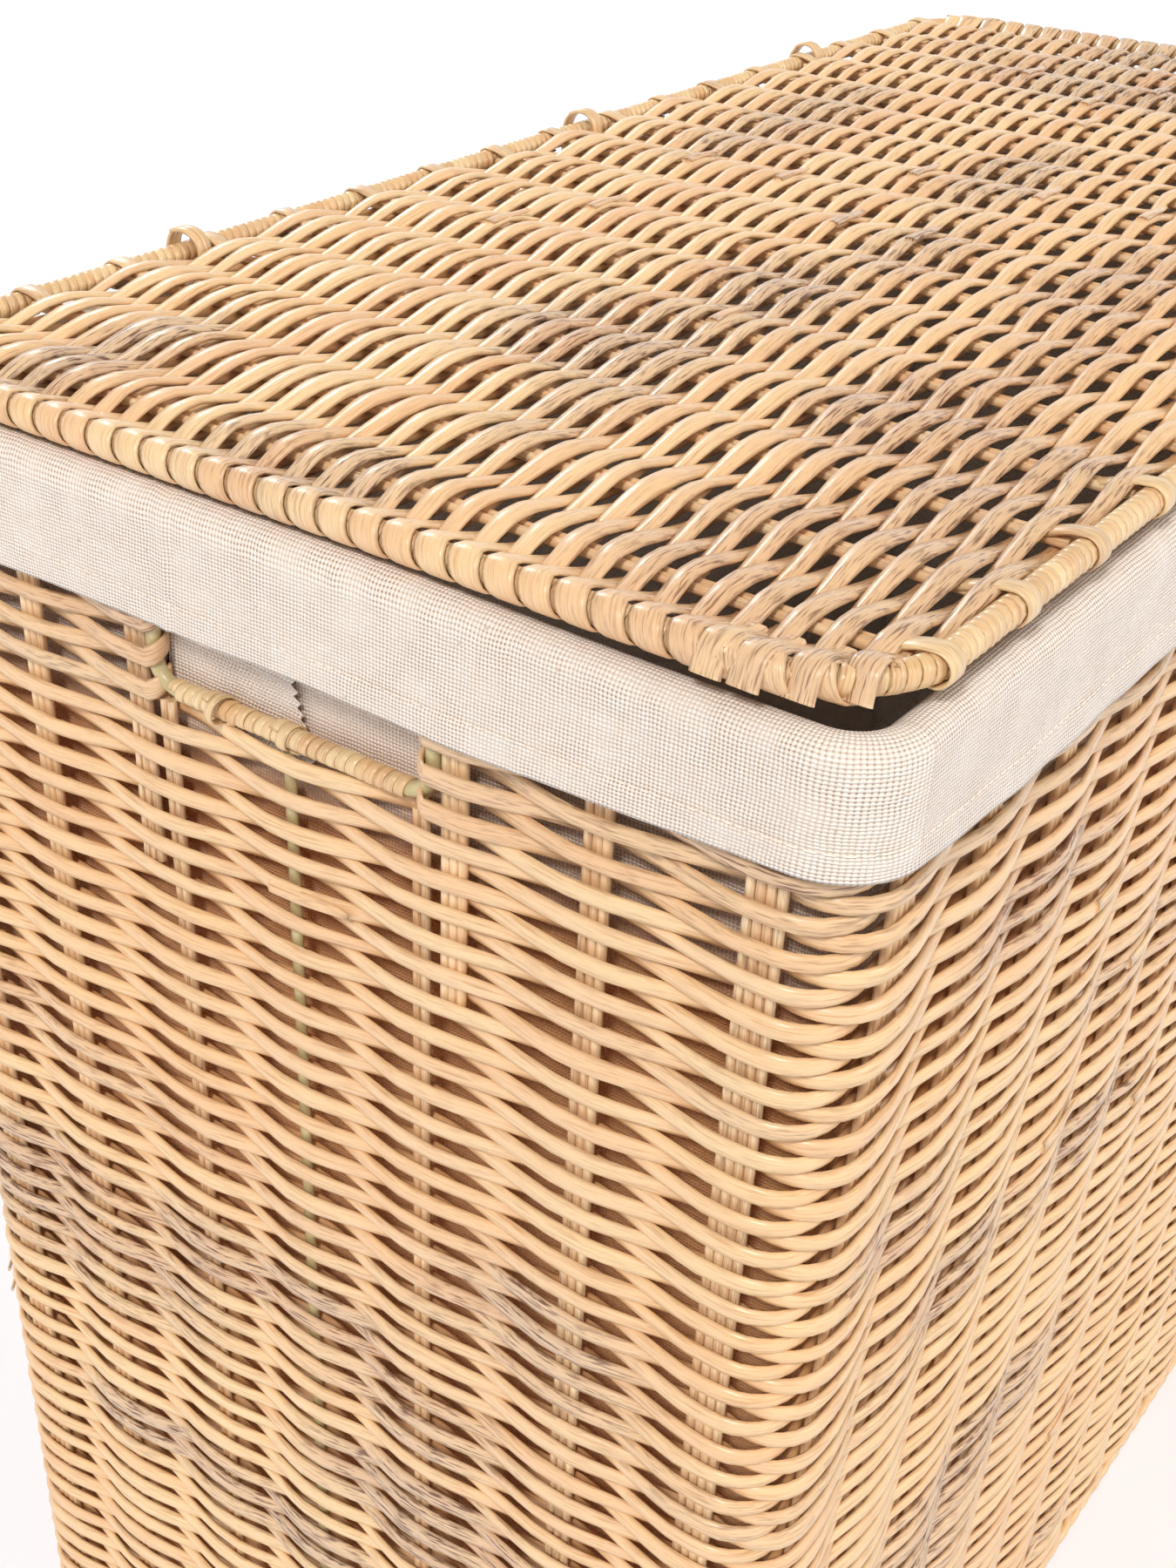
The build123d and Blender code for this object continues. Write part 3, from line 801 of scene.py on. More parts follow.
lid_grey_patches = [
    ((-300, -130, 584), (55, 55, 60)),
    ((-235, -150, 584), (60, 34, 60)),
    ((-195, -100, 584), (40, 34, 60)),
    ((-241, -20, 584), (50, 18, 60)),
    ((-192, 8, 584), (36, 34, 60)),
    ((-114, -3, 584), (34, 26, 60)),
    ((-50, -26, 584), (44, 22, 60)),
    ((-326, 10, 584), (24, 36, 60)),
    ((-130, -110, 584), (44, 16, 60)),
    ((-60, -90, 584), (60, 22, 60)),
    ((-300, 110, 584), (50, 20, 60)),
    ((259, 34, 584), (60, 60, 60)),
    ((62, -2, 584), (60, 20, 60)),
    ((90, 110, 584), (90, 24, 60)),
    ((130, -120, 584), (80, 30, 60)),
    ((270, -110, 584), (50, 60, 60)),
]


def wire_end(y):
    """x of the lid wire's middle at y: straight, then a quarter circle at each corner."""
    into_bend = np.clip(np.abs(y) - (wire_half_y - wire_bend), 0, wire_bend * 0.98)
    return wire_half_x - wire_bend + np.sqrt(wire_bend**2 - into_bend**2)


# %% One long reed to and fro
JUST_TURNING = 1e-6            # marks the first and last place of a half turn
ROWS_PER_REED = 3.7            # after this many rows the colouring changes, as with a new reed


def to_and_fro(rows, half_x_of, half_y, group_x):
    """Path of a reed woven to and fro, as x, y, swing, half turn and row number.

    A row goes over the groups with the swing of arch. Between two rows the swing falls from one side
    to the other as a cosine, and the half turn stands out from the end as a sine, with the end's sign.
    """
    pitch = 2 * half_y / rows
    y_row = -half_y + (np.arange(rows) + 0.5) * pitch
    ends = half_x_of(y_row)
    last_stop = len(group_x) + 1
    share = np.arange(1, SAMPLES * last_stop) / SAMPLES
    turns = np.linspace(0, 1, 9)
    runs = []
    for k in range(rows):
        side = -1 if k % 2 else 1
        stops = np.concatenate([[-ends[k]], group_x, [ends[k]]])
        x = side * np.interp(share, np.arange(last_stop + 1), stops)
        swing = arch(last_stop - share + k if last_stop % 2 and side < 0 else share + k)
        runs.append(np.stack([x, np.full_like(x, y_row[k]), swing, 0 * x, 0 * x + k], 1))
        if k < rows - 1:
            x = side * (ends[k] + (ends[k + 1] - ends[k]) * turns)
            first_swing = np.sign(arch(np.array([k + last_stop * (side > 0) + 0.0]))[0])
            half_turn = side * (np.sin(math.pi * turns) + JUST_TURNING)
            swing = first_swing * np.cos(math.pi * turns)
            runs.append(np.stack([x, y_row[k] + pitch * turns, swing, half_turn, k + turns], 1))
    return np.concatenate(runs).T


def panel_reed(rows, half_x_of, half_y, group_x, height, wire_radius, patches, seed, wide=8.9 * MM):
    """One reed woven to and fro, uneven in height and place, and pressed wide and flat at its turns.

    z is the height plus the swing times its size, which grows from the reed's own swing over the
    sticks to the wire's radius at the turns. x stands out by the half turn times that radius.
    """
    rng = np.random.default_rng(seed)
    x, y, over, turn, row = to_and_fro(rows, half_x_of, half_y, group_x)
    turning = np.abs(turn) > JUST_TURNING / 10
    near_end = np.exp(-(((np.abs(x) - half_x_of(y)) / (12 * MM)) ** 2))
    near_end = np.where(turning, 1.0, near_end * 0.9)
    kernel = np.hanning(2 * SAMPLES)
    kernel = kernel / np.sqrt((kernel**2).sum())
    bump = np.convolve(rng.normal(0, 1, len(x)), kernel, "same")
    wave = np.convolve(rng.normal(0, 1, len(x)), kernel, "same")
    flat = np.stack([x, y, 0 * x], 1)
    y = y + (1 - near_end) * (0.55 * MM * wave * over + 1.1 * MM * ripples(flat, 0.16, seed + 5))
    turn_radius = wire_radius + 0.7 * MM
    size = reed_swing + (turn_radius - reed_swing) * near_end**2 + (1 - near_end) * 0.35 * MM * np.abs(bump)
    points = np.stack([x + turn * turn_radius, y, height + over * size], 1)[None]
    outward = np.stack([turn, 0.12 * wave * (1 - near_end), np.where(turning, over, 1.0)], 1)[None]
    crest = 5.2 * MM + 1.7 * MM * np.clip(over, 0, 1) + 0.3 * MM * bump
    width = crest + (wide - crest) * near_end
    thickness = reed_thickness - 1.3 * MM * near_end
    strand = np.floor(row / ROWS_PER_REED).astype(int)
    warmth = rng.uniform(0, 0.6, strand.max() + 1)[strand]
    depth = rng.uniform(0, 0.3, strand.max() + 1)[strand]
    # painted shade: the reed is darker where it runs under the sticks
    shaded = depth + 0.4 * np.clip(-over, 0, 1)
    tone = np.stack([warmth, greyness(points[0], patches, seed + 8), shaded], 1)[None]
    return points, outward, width[None], thickness[None], tone


lid_reed = panel_reed(
    lid_rows, wire_end, panel_half_y, lid_group_x, lid_height, lid_wire_radius + 0.9 * MM,
    lid_grey_patches, 301,
)
part = sweep(*lid_reed, False, number=400)
make_piece(
    "woven_lid_panel", "lid", weaver_core, [part],
    ["lid_weave", "lid_left_end_binding", "lid_right_end_binding"],
)

# %% [markdown]
# ## Reed ends
#
# A reed is two or three metres long, so a weaver starts a new one many times. Its cut end is left
# lying on the crest of a bight, where it wedges under its neighbour and springs up a little at the
# tip. Each end follows the bight below it, one reed higher, and tapers over its last few millimetres.

# %% Shape of a reed's cut end
tip = np.linspace(0, 1, 9)
tip_phase = 0.62 * tip - 0.12  # from just before a stick group to halfway to the next
tip_climb = 1.2 * MM * tip
tip_lift = (1.5 + 2.2 * tip**3) * MM
tip_width = (4.9 - 2.6 * tip**4) * MM
tip_thickness = (1.9 - 0.9 * tip) * MM
tip_tone = np.array([0.2, 0.15, 0])
wall_tips, lid_tips = 46, 26
rng = np.random.default_rng(90)
print("a cut end narrows from", tip_width[0], "to", tip_width[-1])

# %% Reed ends on the walls
stake = rng.integers(0, len(stakes), wall_tips)
row = 2 * rng.integers(2, rows_below_slot // 2 - 1, wall_tips) + stake % 2
phase = stake[:, None] + tip_phase
along = np.interp(phase, np.arange(len(stakes) + 1), np.append(stakes, stakes[0] + all_round))
height = weave_low[2] + (row[:, None] + 0.5) * row_pitch
points, outward = wall_point(along, height + tip_climb, reed_swing * arch(phase + row[:, None]) + tip_lift)
tone = reed_tones(rng, points, grey_patches, 95) + tip_tone
part = sweep(points, outward, tip_width, tip_thickness, tone, False, number=1000)
make_piece("reed_ends_on_walls", "basket", weaver_core, [part])

# %% Reed ends on the lid
group = rng.integers(1, lid_groups - 1, lid_tips)
row = 2 * rng.integers(2, lid_rows // 2 - 2, lid_tips) + (group + 1) % 2
x = lid_group_x[group][:, None] + lid_pitch * tip_phase
y = (row[:, None] + 0.5 - lid_rows / 2) * 2 * panel_half_y / lid_rows + tip_climb
z = lid_height + reed_swing * arch(tip_phase) + tip_lift + 0 * x
points = np.stack([x, y, z], -1)
tone = reed_tones(rng, points, lid_grey_patches, 97) + tip_tone
tip_up = np.broadcast_to(up_axis, points.shape)
part = sweep(points, tip_up, tip_width, tip_thickness, tone, False, number=1100)
make_piece("reed_ends_on_lid", "lid", weaver_core, [part])

# %% [markdown]
# ## Bindings of flat cane
#
# Cane is wound round the lid's wire, all the way round, and round the bars of the hand slots. Each
# winding is a helix: the path turns round the wire while it moves along it, and the flat section lies
# tangent to the wire. The strip is as wide as the distance between turns, so neighbouring turns just
# touch and only a thin dark line shows between them.


# %% Helical windings
def straight_bar(start, end):
    """Place and outward direction on a straight bar at these distances, and its length."""
    start, end = np.array(start, float), np.array(end, float)
    axis = unit(end - start)
    outward = unit(np.cross(axis, up_axis))

    def place(s):
        return start + axis * s[:, None], np.broadcast_to(outward, (len(s), 3))

    return place, np.linalg.norm(end - start)


def wire_outline(half_x, half_y, bend, height):
    """The same for a rounded rectangle: centre plus radius times direction, as for the walls."""
    wire_knots = outline_knots(2 * (half_x - bend), 2 * (half_y - bend), math.pi / 2 * bend)

    def place(s):
        side_x, side_y, outward = outline_place(s, wire_knots)
        middle = np.stack([side_x * (half_x - bend), side_y * (half_y - bend), 0 * s + height], -1)
        return middle + bend * outward, outward

    return place, wire_knots[-1]


TURNS_OF_ONE_COLOUR = 2.6


def winding(bar, radius, pitch, seed, per_turn=12, thickness=1.0 * MM):
    """Cane round a bar: the bar's place, plus the radius times a direction that goes round it."""
    place, length = bar
    rng = np.random.default_rng(seed)
    turns = length / pitch
    t = np.linspace(0, turns, int(turns * per_turn))
    wander = np.convolve(rng.normal(0, 1, len(t)), np.hanning(per_turn) / 4, "same")
    middle, outward = place(np.clip(t / turns * length + 0.2 * MM * wander, 0, length))
    angle = 2 * math.pi * t[:, None]
    direction = np.cos(angle) * outward + np.sin(angle) * up_axis
    points = middle + direction * (radius + 0.08 * MM * wander)[:, None]
    batch = (t / TURNS_OF_ONE_COLOUR).astype(int)
    warm, dark = rng.uniform(0, 1, (2, int(turns) + 2))
    tone = np.stack([warm[batch], 0.3 * warm[batch] * dark[batch], 0.35 * dark[t.astype(int)]], 1)[None]
    return sweep(points[None], direction[None], pitch, thickness, tone, False, flat_band, seed)


lid_wire = wire_outline(wire_half_x, wire_half_y, wire_bend, lid_height)
part = winding(lid_wire, lid_wire_radius + 0.45 * MM, 3.6 * MM, 500, 10)
bindings = ["lid_front_binding", "lid_back_binding"]
make_piece("cane_lid_edge", "lid", cane_peel, [part], bindings)


# %% Windings and ties on the slot bars
def slot_tie(bar_x, sign, radius, middle_y, travel, swell, strip):
    """A strip round the bar, a little under two turns, whose radius may swell where it is loose."""
    t = np.linspace(0, 1, 48)[:, None]
    turn = 2 * math.pi * (1.7 * t + 0.1)
    grown = radius * MM * (1 + swell * np.exp(-(((t - 0.55) / 0.12) ** 2)))
    x = bar_x + sign * grown * np.cos(turn)
    y = (middle_y + travel / 2 - travel * t) * MM
    z = slot_bar_height + grown * np.sin(turn)
    points = np.concatenate([x, y, z], 1)[None]
    outward = np.concatenate([sign * np.cos(turn), 0 * t, np.sin(turn)], 1)[None]
    tie_tone = np.array([0.3, 0.1, 0.1])
    return sweep(points, outward, strip * MM, 0.9 * MM, tie_tone, False, flat_band, 710 + middle_y)


# the tie over the upright wire and one turn that has worked loose: radius, middle along the bar,
# travel and swelling, and the strip's width, in millimetres but for the swelling
slot_ties = ((3.7, 0, 6, 0, 3.6), (3.5, 25, 8, 0.7, 2.8))
for side, sign in (("left", -1), ("right", 1)):
    bar_x = sign * slot_bar_x
    bar_ends = [(bar_x, slot_low[1] - 2 * MM, slot_bar_height), (bar_x, slot_high[1] + 2 * MM, slot_bar_height)]
    parts = [winding(straight_bar(*bar_ends), 2.75 * MM, 3.3 * MM, 520 + sign, 14, 0.9 * MM)]
    parts += [slot_tie(bar_x, sign, *tie) for tie in slot_ties]
    make_piece(f"cane_winding_{side}_slot", "basket", cane_peel, parts, [f"{side}_slot_wrap"])

# %% [markdown]
# ## Stick ends folded over the lid's long edges
#
# Each pair of lid sticks is pressed flat into a strap where it leaves the weave. The strap climbs
# over the bound wire, bends down its outside and is tucked in underneath. Its path is a short rise
# and more than half a circle round the wire, and its width grows while its thickness shrinks. At the
# lid's corners the last turns of the reed are cut off short and hang over the wire as blunt tongues.

# %% Straps
strap_radius = lid_wire_radius + 1.4 * MM
STRAP_START = 100              # degrees above the wire's outside, where a strap meets its circle
STICK_PAIR = 5.4               # width of two sticks side by side, in millimetres


def strap_paths(places, side, drop, seed, run=20 * MM, end_width=7.2):
    """Straps at these x places: a rise over the run, then round the wire to drop degrees below it."""
    rng = np.random.default_rng(seed)
    level = np.linspace(0, 1, 8)[:-1]
    bend = np.linspace(0, 1, 15)
    angle = np.radians(STRAP_START - (STRAP_START + drop) * bend)
    rise_run = run - strap_radius * math.sin(math.radians(STRAP_START - 90))
    y = np.concatenate([-run + rise_run * level, strap_radius * np.cos(angle)])
    z = np.concatenate([strap_radius * smooth_step(level, 0.1, 1.0), strap_radius * np.sin(angle)])
    turn = np.concatenate([0 * level, np.cos(angle)])
    up = np.concatenate([0 * level + 1, np.sin(angle)])
    jitter = rng.normal(0, 1, (len(places), 1))
    x = np.asarray(places)[:, None] + jitter * MM * (0.4 + 0.8 * np.linspace(0, 1, len(y)))
    zero = np.zeros_like(x)
    points = np.stack([x, side * (wire_half_y + y) + zero, lid_height + z + zero], -1)
    outward = np.stack([zero, side * turn + zero, up + zero], -1)
    flat = smooth_step(np.concatenate([level, bend + 1]), 0.3, 1.1)
    shade = rng.uniform(0, 0.4, (len(places), 1)) + zero
    tone = np.stack([shade, shade, 0.15 + zero], -1)
    width = (STICK_PAIR + (end_width - STICK_PAIR) * flat) * MM + zero
    return points, outward, width, (2.2 - 1.1 * flat) * MM + zero, tone


on_straight = lid_group_x[np.abs(lid_group_x) < wire_half_x - wire_bend + 8 * MM]
parts = [
    sweep(*strap_paths(on_straight, side, 110, 540 + side), False, flat_band, 800) for side in (-1, 1)
]
make_piece("stick_ends_on_lid", "lid", cane_peel, parts)

# %% Cut ends
# they lie over the end wires near the corners: the straps' shape, turned a quarter turn
cut_places = {-1: [-161, -152, -141, -131, 146], 1: [-150, 139, 150]}
parts = []
for end, places in cut_places.items():
    straps = strap_paths(np.array(places) * MM, 1, 25, 560 + end, 15 * MM, 8.4)
    points, outward, width, thickness, tone = straps
    reach = wire_end(points[..., 0]) - wire_half_y
    points = np.stack([end * (points[..., 1] + reach), points[..., 0], points[..., 2] + 0.5 * MM], -1)
    points[:, -4:] += np.array([end * 0.5, 0, -0.5]) * MM * np.arange(1, 5)[:, None]
    outward = np.stack([end * outward[..., 1], outward[..., 0], outward[..., 2]], -1)
    tone = tone + np.array([0.0, 0.35, 0.0])
    parts.append(sweep(points, outward, width, thickness, tone, False, flat_band, 820))
make_piece("cut_reed_ends", "lid", weaver_core, parts)

# %% [markdown]
# ## Foot border and bottom
#
# Three round reeds are twisted into a rope round the base wire, and the bottom is woven like the
# lid. A rope's strands are helices round a shared path, a third of a turn apart.

# %% Twisted foot border
FOOT_TWIST = 36 * MM           # length of one full turn of the rope, about
STRANDS = 3
rope_inset = 4.2 * MM
rope_radius = 2.05 * MM
strand_diameter = 3.9 * MM
along = np.linspace(0, all_round, 480, endpoint=False)[None, :]
twists = np.round(all_round / FOOT_TWIST)
turn = 2 * math.pi * (twists * along / all_round + np.arange(STRANDS)[:, None] / STRANDS)
strand_out = stake_inset - rope_inset + rope_radius * np.cos(turn)
points, outward = wall_point(np.broadcast_to(along, turn.shape), np.zeros_like(turn), strand_out)
points[..., 2] = foot_high[2] / 2 + rope_radius * np.sin(turn)
tone = reed_tones(np.random.default_rng(70), points, grey_patches, 71)
part = sweep(points, outward, strand_diameter, strand_diameter, tone, True, round_reed, 900)
make_piece("twisted_foot_border", "basket", weaver_core, [part], ["foot_border"])

# %% Woven bottom
base_low, base_high = corners("base_weave")
base_sticks_low, base_sticks_high = corners("base_stakes")
base_rows = 46
base_groups = 15
base_group_x = np.linspace(base_sticks_low[0] + 4.3 * MM, base_sticks_high[0] - 4.3 * MM, base_groups)
base_height = (base_low[2] + base_high[2]) / 2
base_grey_patches = [((100, 0, 5), (200, 60, 60))]


def base_end(y):
    """x of the turning place of the bottom's reed."""
    return 0 * y + base_high[0] - 5 * MM


points, outward, width, thickness, tone = panel_reed(
    base_rows, base_end, base_high[1] - 2 * MM, base_group_x, base_height, 2.2 * MM,
    base_grey_patches, 331, 6.4 * MM,
)
part = sweep(points, outward, width + 1.0 * MM, thickness, tone, False, number=950)
make_piece("woven_bottom", "basket", weaver_core, [part], ["base_weave"])

# %% [markdown]
# ## Hinge loops
#
# Three loops of cane tie the lid's back wire to the rim. Each is two turns of strip round a long
# oval, side by side. The lid's wire turns inside them.

# %% Hinge loops
loops_low, loops_high = corners("hinge_loops")
loop_radius = 8.5 * MM
loop_half = (lid_height - rim_height) / 2
hinge_y = (loops_low[1] + loops_high[1]) / 2
loop_middle = (lid_height + rim_height) / 2
loop_tone = np.array([0.4, 0.15, 0.2])
group_spacing = group_x[1] - group_x[0]
hinge_steps = (-4.5, 0.5, 4.5) # places along the back, in group spacings from the middle


def hinge_loop(number, step):
    """Two turns of strip: a circle pulled apart up and down by the loop's half height."""
    t = np.linspace(0, 2, 97)
    angle = 2 * math.pi * t + 1.0
    radius = loop_radius * (1 + 0.05 * np.sin(angle * 3 + number))
    x = step * group_spacing + 9 * MM * (t / 2 - 0.5) * 0.5
    y = hinge_y + radius * np.cos(angle)
    z = loop_middle + radius * np.sin(angle) + loop_half * np.tanh(2.5 * np.sin(angle))
    points = np.stack([x, y, z], 1)[None]
    outward = np.stack([0 * t, np.cos(angle), np.sin(angle)], 1)[None]
    return sweep(points, outward, 4.4 * MM, 1.5 * MM, loop_tone, False, flat_band, 980 + number)


parts = [hinge_loop(number, step) for number, step in enumerate(hinge_steps)]
make_piece("cane_hinge_loops", "basket", cane_peel, parts, ["hinge_loops"])

# %% [markdown]
# ## The bag and its cuff
#
# The bag is one sewn cloth, held up by its cuff. It is a surface over two numbers, the distance
# round the basket and the distance down the wall, and it hangs a little slack, so it falls into
# shallow upright folds away from the weave. The stiff wall decides nearly all of its shape, so the
# folds are worked out with ripples and not simulated. The bag has two faces, and only the one behind
# the weave gets the amber painted shade.

# %% Cloth grids
CLOTH = 0.9 * MM
bag_gap = stake_inset - wall_thickness - 1.5 * MM


def cloth_part(points, along, down, closed, shade=None, closed_down=False):
    """A cloth surface from its points on a grid, with its flat place for the weave, and its shade."""
    rows = points.shape[0]
    vertex, row, column = grid_corners(rows, points.shape[1], closed_down, closed)
    shade = np.zeros(rows) if shade is None else shade
    flat = np.stack([along[column], down[row % rows], shade[row % rows]], -1)
    return points.reshape(-1, 3), vertex[:, ::-1], {"cloth": flat[:, ::-1]}


WALL_ROWS, FLOOR_ROWS, BAG_COLUMNS = 50, 20, 380
bag_along = np.linspace(0, all_round, BAG_COLUMNS + 1)
bag_top = rim_height + 1 * MM
bag_floor = 12.4 * MM
bag_wall = np.linspace(bag_top, bag_floor + 6 * MM, WALL_ROWS)
bag_height = np.concatenate([bag_wall, np.full(FLOOR_ROWS, bag_floor)])
inward = np.concatenate([np.zeros(WALL_ROWS), np.linspace(0.02, 0.995, FLOOR_ROWS)])
print("bag grid", len(bag_height), "by", BAG_COLUMNS, "from", bag_top, "down to", bag_floor)


# %% Bag
def bag_surface(offset):
    """The bag moved outwards by an offset.

    On the wall, the place is the wall's own, less the drape: slack and folds that grow downwards, but
    stay small behind the hand slots. On the floor the wall's outline shrinks towards the middle.
    """
    along, height = np.broadcast_arrays(bag_along[:-1], bag_height[:, None])
    level, _ = wall_point(along, height, 0)
    hang = smooth_step(bag_top - height, 0.0, 0.06)
    folds = np.clip(0.5 + 0.5 * ripples(level, 0.16, 81, (1, 1, 0.25)), 0, 1)
    at_slot = np.exp(-((level[..., 1] / (66 * MM)) ** 4) - ((height - slot_bar_height) / (50 * MM)) ** 4)
    on_end = np.abs(level[..., 0]) > base_length / 2 - 20 * MM
    drape = 2.5 * MM * hang + 6 * MM * folds * smooth_step(bag_top - height, 0.02, 0.2)
    drape = drape * (1 - 0.9 * at_slot * on_end)
    points, _ = wall_point(along, height, bag_gap - drape + offset)
    left = 1 - inward[:, None]
    points[..., :2] *= left[..., None]
    floor_rise = 0.8 * MM * (1 + ripples(points, 0.11, 83)) * left - offset
    points[..., 2] += np.where(left < 1, floor_rise, 0)
    return points


points = np.concatenate([bag_surface(CLOTH / 2), bag_surface(-CLOTH / 2)[::-1]])
floor_down = bag_top - bag_floor + np.linspace(0.004, 0.17, FLOOR_ROWS)
down = np.concatenate([bag_top - bag_wall, floor_down])
# painted shade on the bag's outer face: full below the slots' floor, slight above it
outside_shade = 0.15 + 0.85 * smooth_step(slot_floor - bag_height, 0.0, 0.03)
shade = np.concatenate([outside_shade, 0 * down])
part = cloth_part(points, bag_along, np.concatenate([down, down[::-1]]), True, shade, True)
bag = make_piece("linen_bag", "basket", linen, [part], ["liner_bag", "liner_bottom"])

# %% [markdown]
# ## The bag's seam
#
# The bag's end seam lies behind the left hand slot. Its spare cloth is cut with pinking shears, whose
# zigzag keeps the edge from fraying, and it stands a little off the bag. A flat grid is enough, with
# its free edge moved by a zigzag of the height.

# %% Seam allowance with a pinked edge
TOOTH = 3.2 * MM
FLAP_WIDTH = 42 * MM
# a slight painted shade on the seam flap
FLAP_SHADE = 0.08
flap_up = np.linspace(0, 60 * MM, 73)
flap_across = np.linspace(0, 1, 9)
pinked = 38 * MM + 0.28 * flap_up + 2.4 * MM * np.abs(np.mod(flap_up / TOOTH, 1) - 0.5) * 2
flap_along = side_place("left", 50 * MM) + pinked[:, None] * flap_across
flap_height = np.broadcast_to(rim_height - 2 * MM - flap_up[:, None], flap_along.shape)
flap_curl = (0.6 + 0.4 * np.sin(flap_up / (19 * MM)))[:, None]
flap_out = bag_gap + 0.9 * MM + 1.6 * MM * flap_across**2 * flap_curl
points, _ = wall_point(flap_along, flap_height, flap_out)
part = cloth_part(points, flap_across * FLAP_WIDTH, flap_up, False, 0 * flap_up + FLAP_SHADE)
seam_flap = make_piece("pinked_seam_allowance", "basket", linen, [part])

# %% [markdown]
# ## The cuff
#
# The cuff is the same cloth turned down over the rim: a short way down inside, round over the wound
# rim, and down outside to a sewn hem. It is a profile carried round the basket, with slow waves that
# grow towards its free edge. The grid is one sheet, and Solidify gives it the cloth's thickness.

# %% Waves of the cuff
cuff_low = corners("liner_cuff")[0]
skirt = rim_height - cuff_low[2]
fold_radius = 5.9 * MM
fold_middle = -0.7 * MM
hem_height = 9 * MM


def edge_wave(level, share):
    """Rise of the cuff: slow and quick ripples, by the square of the share of the way down."""
    slow = 1.3 * MM * ripples(level, 0.33, 92, (1, 1, 0))
    quick = 0.5 * MM * ripples(level, 0.09, 93, (1, 1, 0))
    return share**2 * (slow + quick)


def billow(level, share):
    """How far the cuff stands out: slow ripples and small creases, by the share of the way down."""
    slow = 0.5 * MM + 0.9 * MM * ripples(level, 0.2, 94, (1, 1, 0.3))
    creases = 0.35 * MM * share * ripples(level, 0.045, 95, (1, 1, 1.5))
    return np.clip(share * slow + creases, -0.5 * MM, 3 * MM)


def bell(distance, width):
    """1 in the middle and falling off to both sides, by the negative square of distance over width."""
    return np.exp(-((distance / width) ** 2))


print("cuff hangs", skirt, "below the middle of the rim")

# %% Profile of the cuff
inside_run = np.linspace(-14 * MM, 0, 5)[:-1]
over_run = np.linspace(0, math.pi, 12)
outside_run = np.linspace(0, skirt, 26)[1:]


def by_run(inside, over, outside):
    """Values on the inside, over the fold and on the outside of the cuff, as a column."""
    return np.concatenate([0 * inside_run + inside, 0 * over_run + over, 0 * outside_run + outside])[:, None]


cuff_out = fold_middle + fold_radius * by_run(-1, -np.cos(over_run), 1)
cuff_up = by_run(inside_run, 0.93 * fold_radius * np.sin(over_run), -outside_run)
hung = by_run(0, 0, outside_run / skirt)
arched = by_run(0, np.sin(over_run), 0)
above_edge = by_run(1, 1, skirt - outside_run)
down = by_run(inside_run, fold_radius * over_run, math.pi * fold_radius + outside_run)[:, 0]
print("cuff profile", len(down), "places", down[-1] - down[0], "long")

# %% Cuff
cuff_along = np.linspace(0, all_round, 761)
along, height = np.broadcast_arrays(cuff_along[:-1], rim_height + cuff_up)
level, _ = wall_point(along, height, cuff_out)
from_corner = (level - np.array([-0.33, -0.17, rim_height])) / np.array([0.17, 0.1, 1])
near_corner = bell(np.linalg.norm(from_corner, axis=-1), 1)
puff = 0.5 + 0.5 * ripples(level, 0.3, 91, (1, 1, 0))
lift = 2.6 * MM * arched * np.clip(puff * (1 - near_corner), 0, 1)
hem = 0.15 * MM * smooth_step(-above_edge, -hem_height, -hem_height + 1.2 * MM)
stitch = -0.08 * MM * bell(above_edge - hem_height, 0.9 * MM)
from_seam = np.mod(cuff_along[:-1] - side_place("left", 38 * MM) + all_round / 2, all_round)
from_seam = np.abs(from_seam - all_round / 2)
seam = 0.5 * MM * bell(from_seam, 1.6 * MM) - 0.3 * MM * bell(from_seam - 4 * MM, 1.2 * MM)
out = cuff_out + billow(level, hung) + hem + stitch + seam
points, _ = wall_point(along, height + lift + edge_wave(level, hung), out)
part = cloth_part(points, cuff_along, down, True)
cuff = make_piece("linen_cuff", "basket", linen, [part], ["liner_cuff"])
thickness = cuff.modifiers.new("cloth thickness", "SOLIDIFY")
thickness.thickness = CLOTH
thickness.offset = 0

# %% [markdown]
# ## Hem stitches
#
# A row of machine stitches holds the hem. Each stitch is a short thread that sinks into the cloth at
# both ends, so it is a small tube along an arc, on the same waves as the cuff under it.

# %% Stitches along the hem
stitch_pitch = 3.2 * MM
stitch_length = 2.3 * MM
stitches = int(all_round / stitch_pitch)
start = np.linspace(0, all_round, stitches, endpoint=False)[:, None]
t = np.linspace(0, 1, 5)[None, :]
along = start + stitch_length * t
height = np.full_like(along, cuff_low[2] + hem_height)
level, _ = wall_point(along, height, 0)
share = (skirt - hem_height) / skirt
on_cloth = fold_middle + fold_radius + billow(level, share) + CLOTH / 2
stitch_out = on_cloth + 0.15 * MM * np.sin(math.pi * t)
points, outward = wall_point(along, height + edge_wave(level, share), stitch_out)
part = sweep(points, outward, 0.45 * MM, 0.4 * MM, np.zeros(3), False, round_reed)
cotton, cotton_surface = new_material("cotton_sewing_thread")
cotton_surface.inputs["Base Color"].default_value = linear("#f6eadb")
cotton_surface.inputs["Roughness"].default_value = 0.75
stitching = make_piece("hem_stitches", "basket", cotton, [part])

# %% [markdown]

# %% [markdown]
# ## Finishes of the frame's own pieces
#
# The round sticks, the wires and the rim's winding, which the cuff hides, are already the right shape
# in the imported model, so they only get their materials. Grain runs along Z in the walls, and along Y
# in the lid and the bottom. In the rim's winding it lies level.

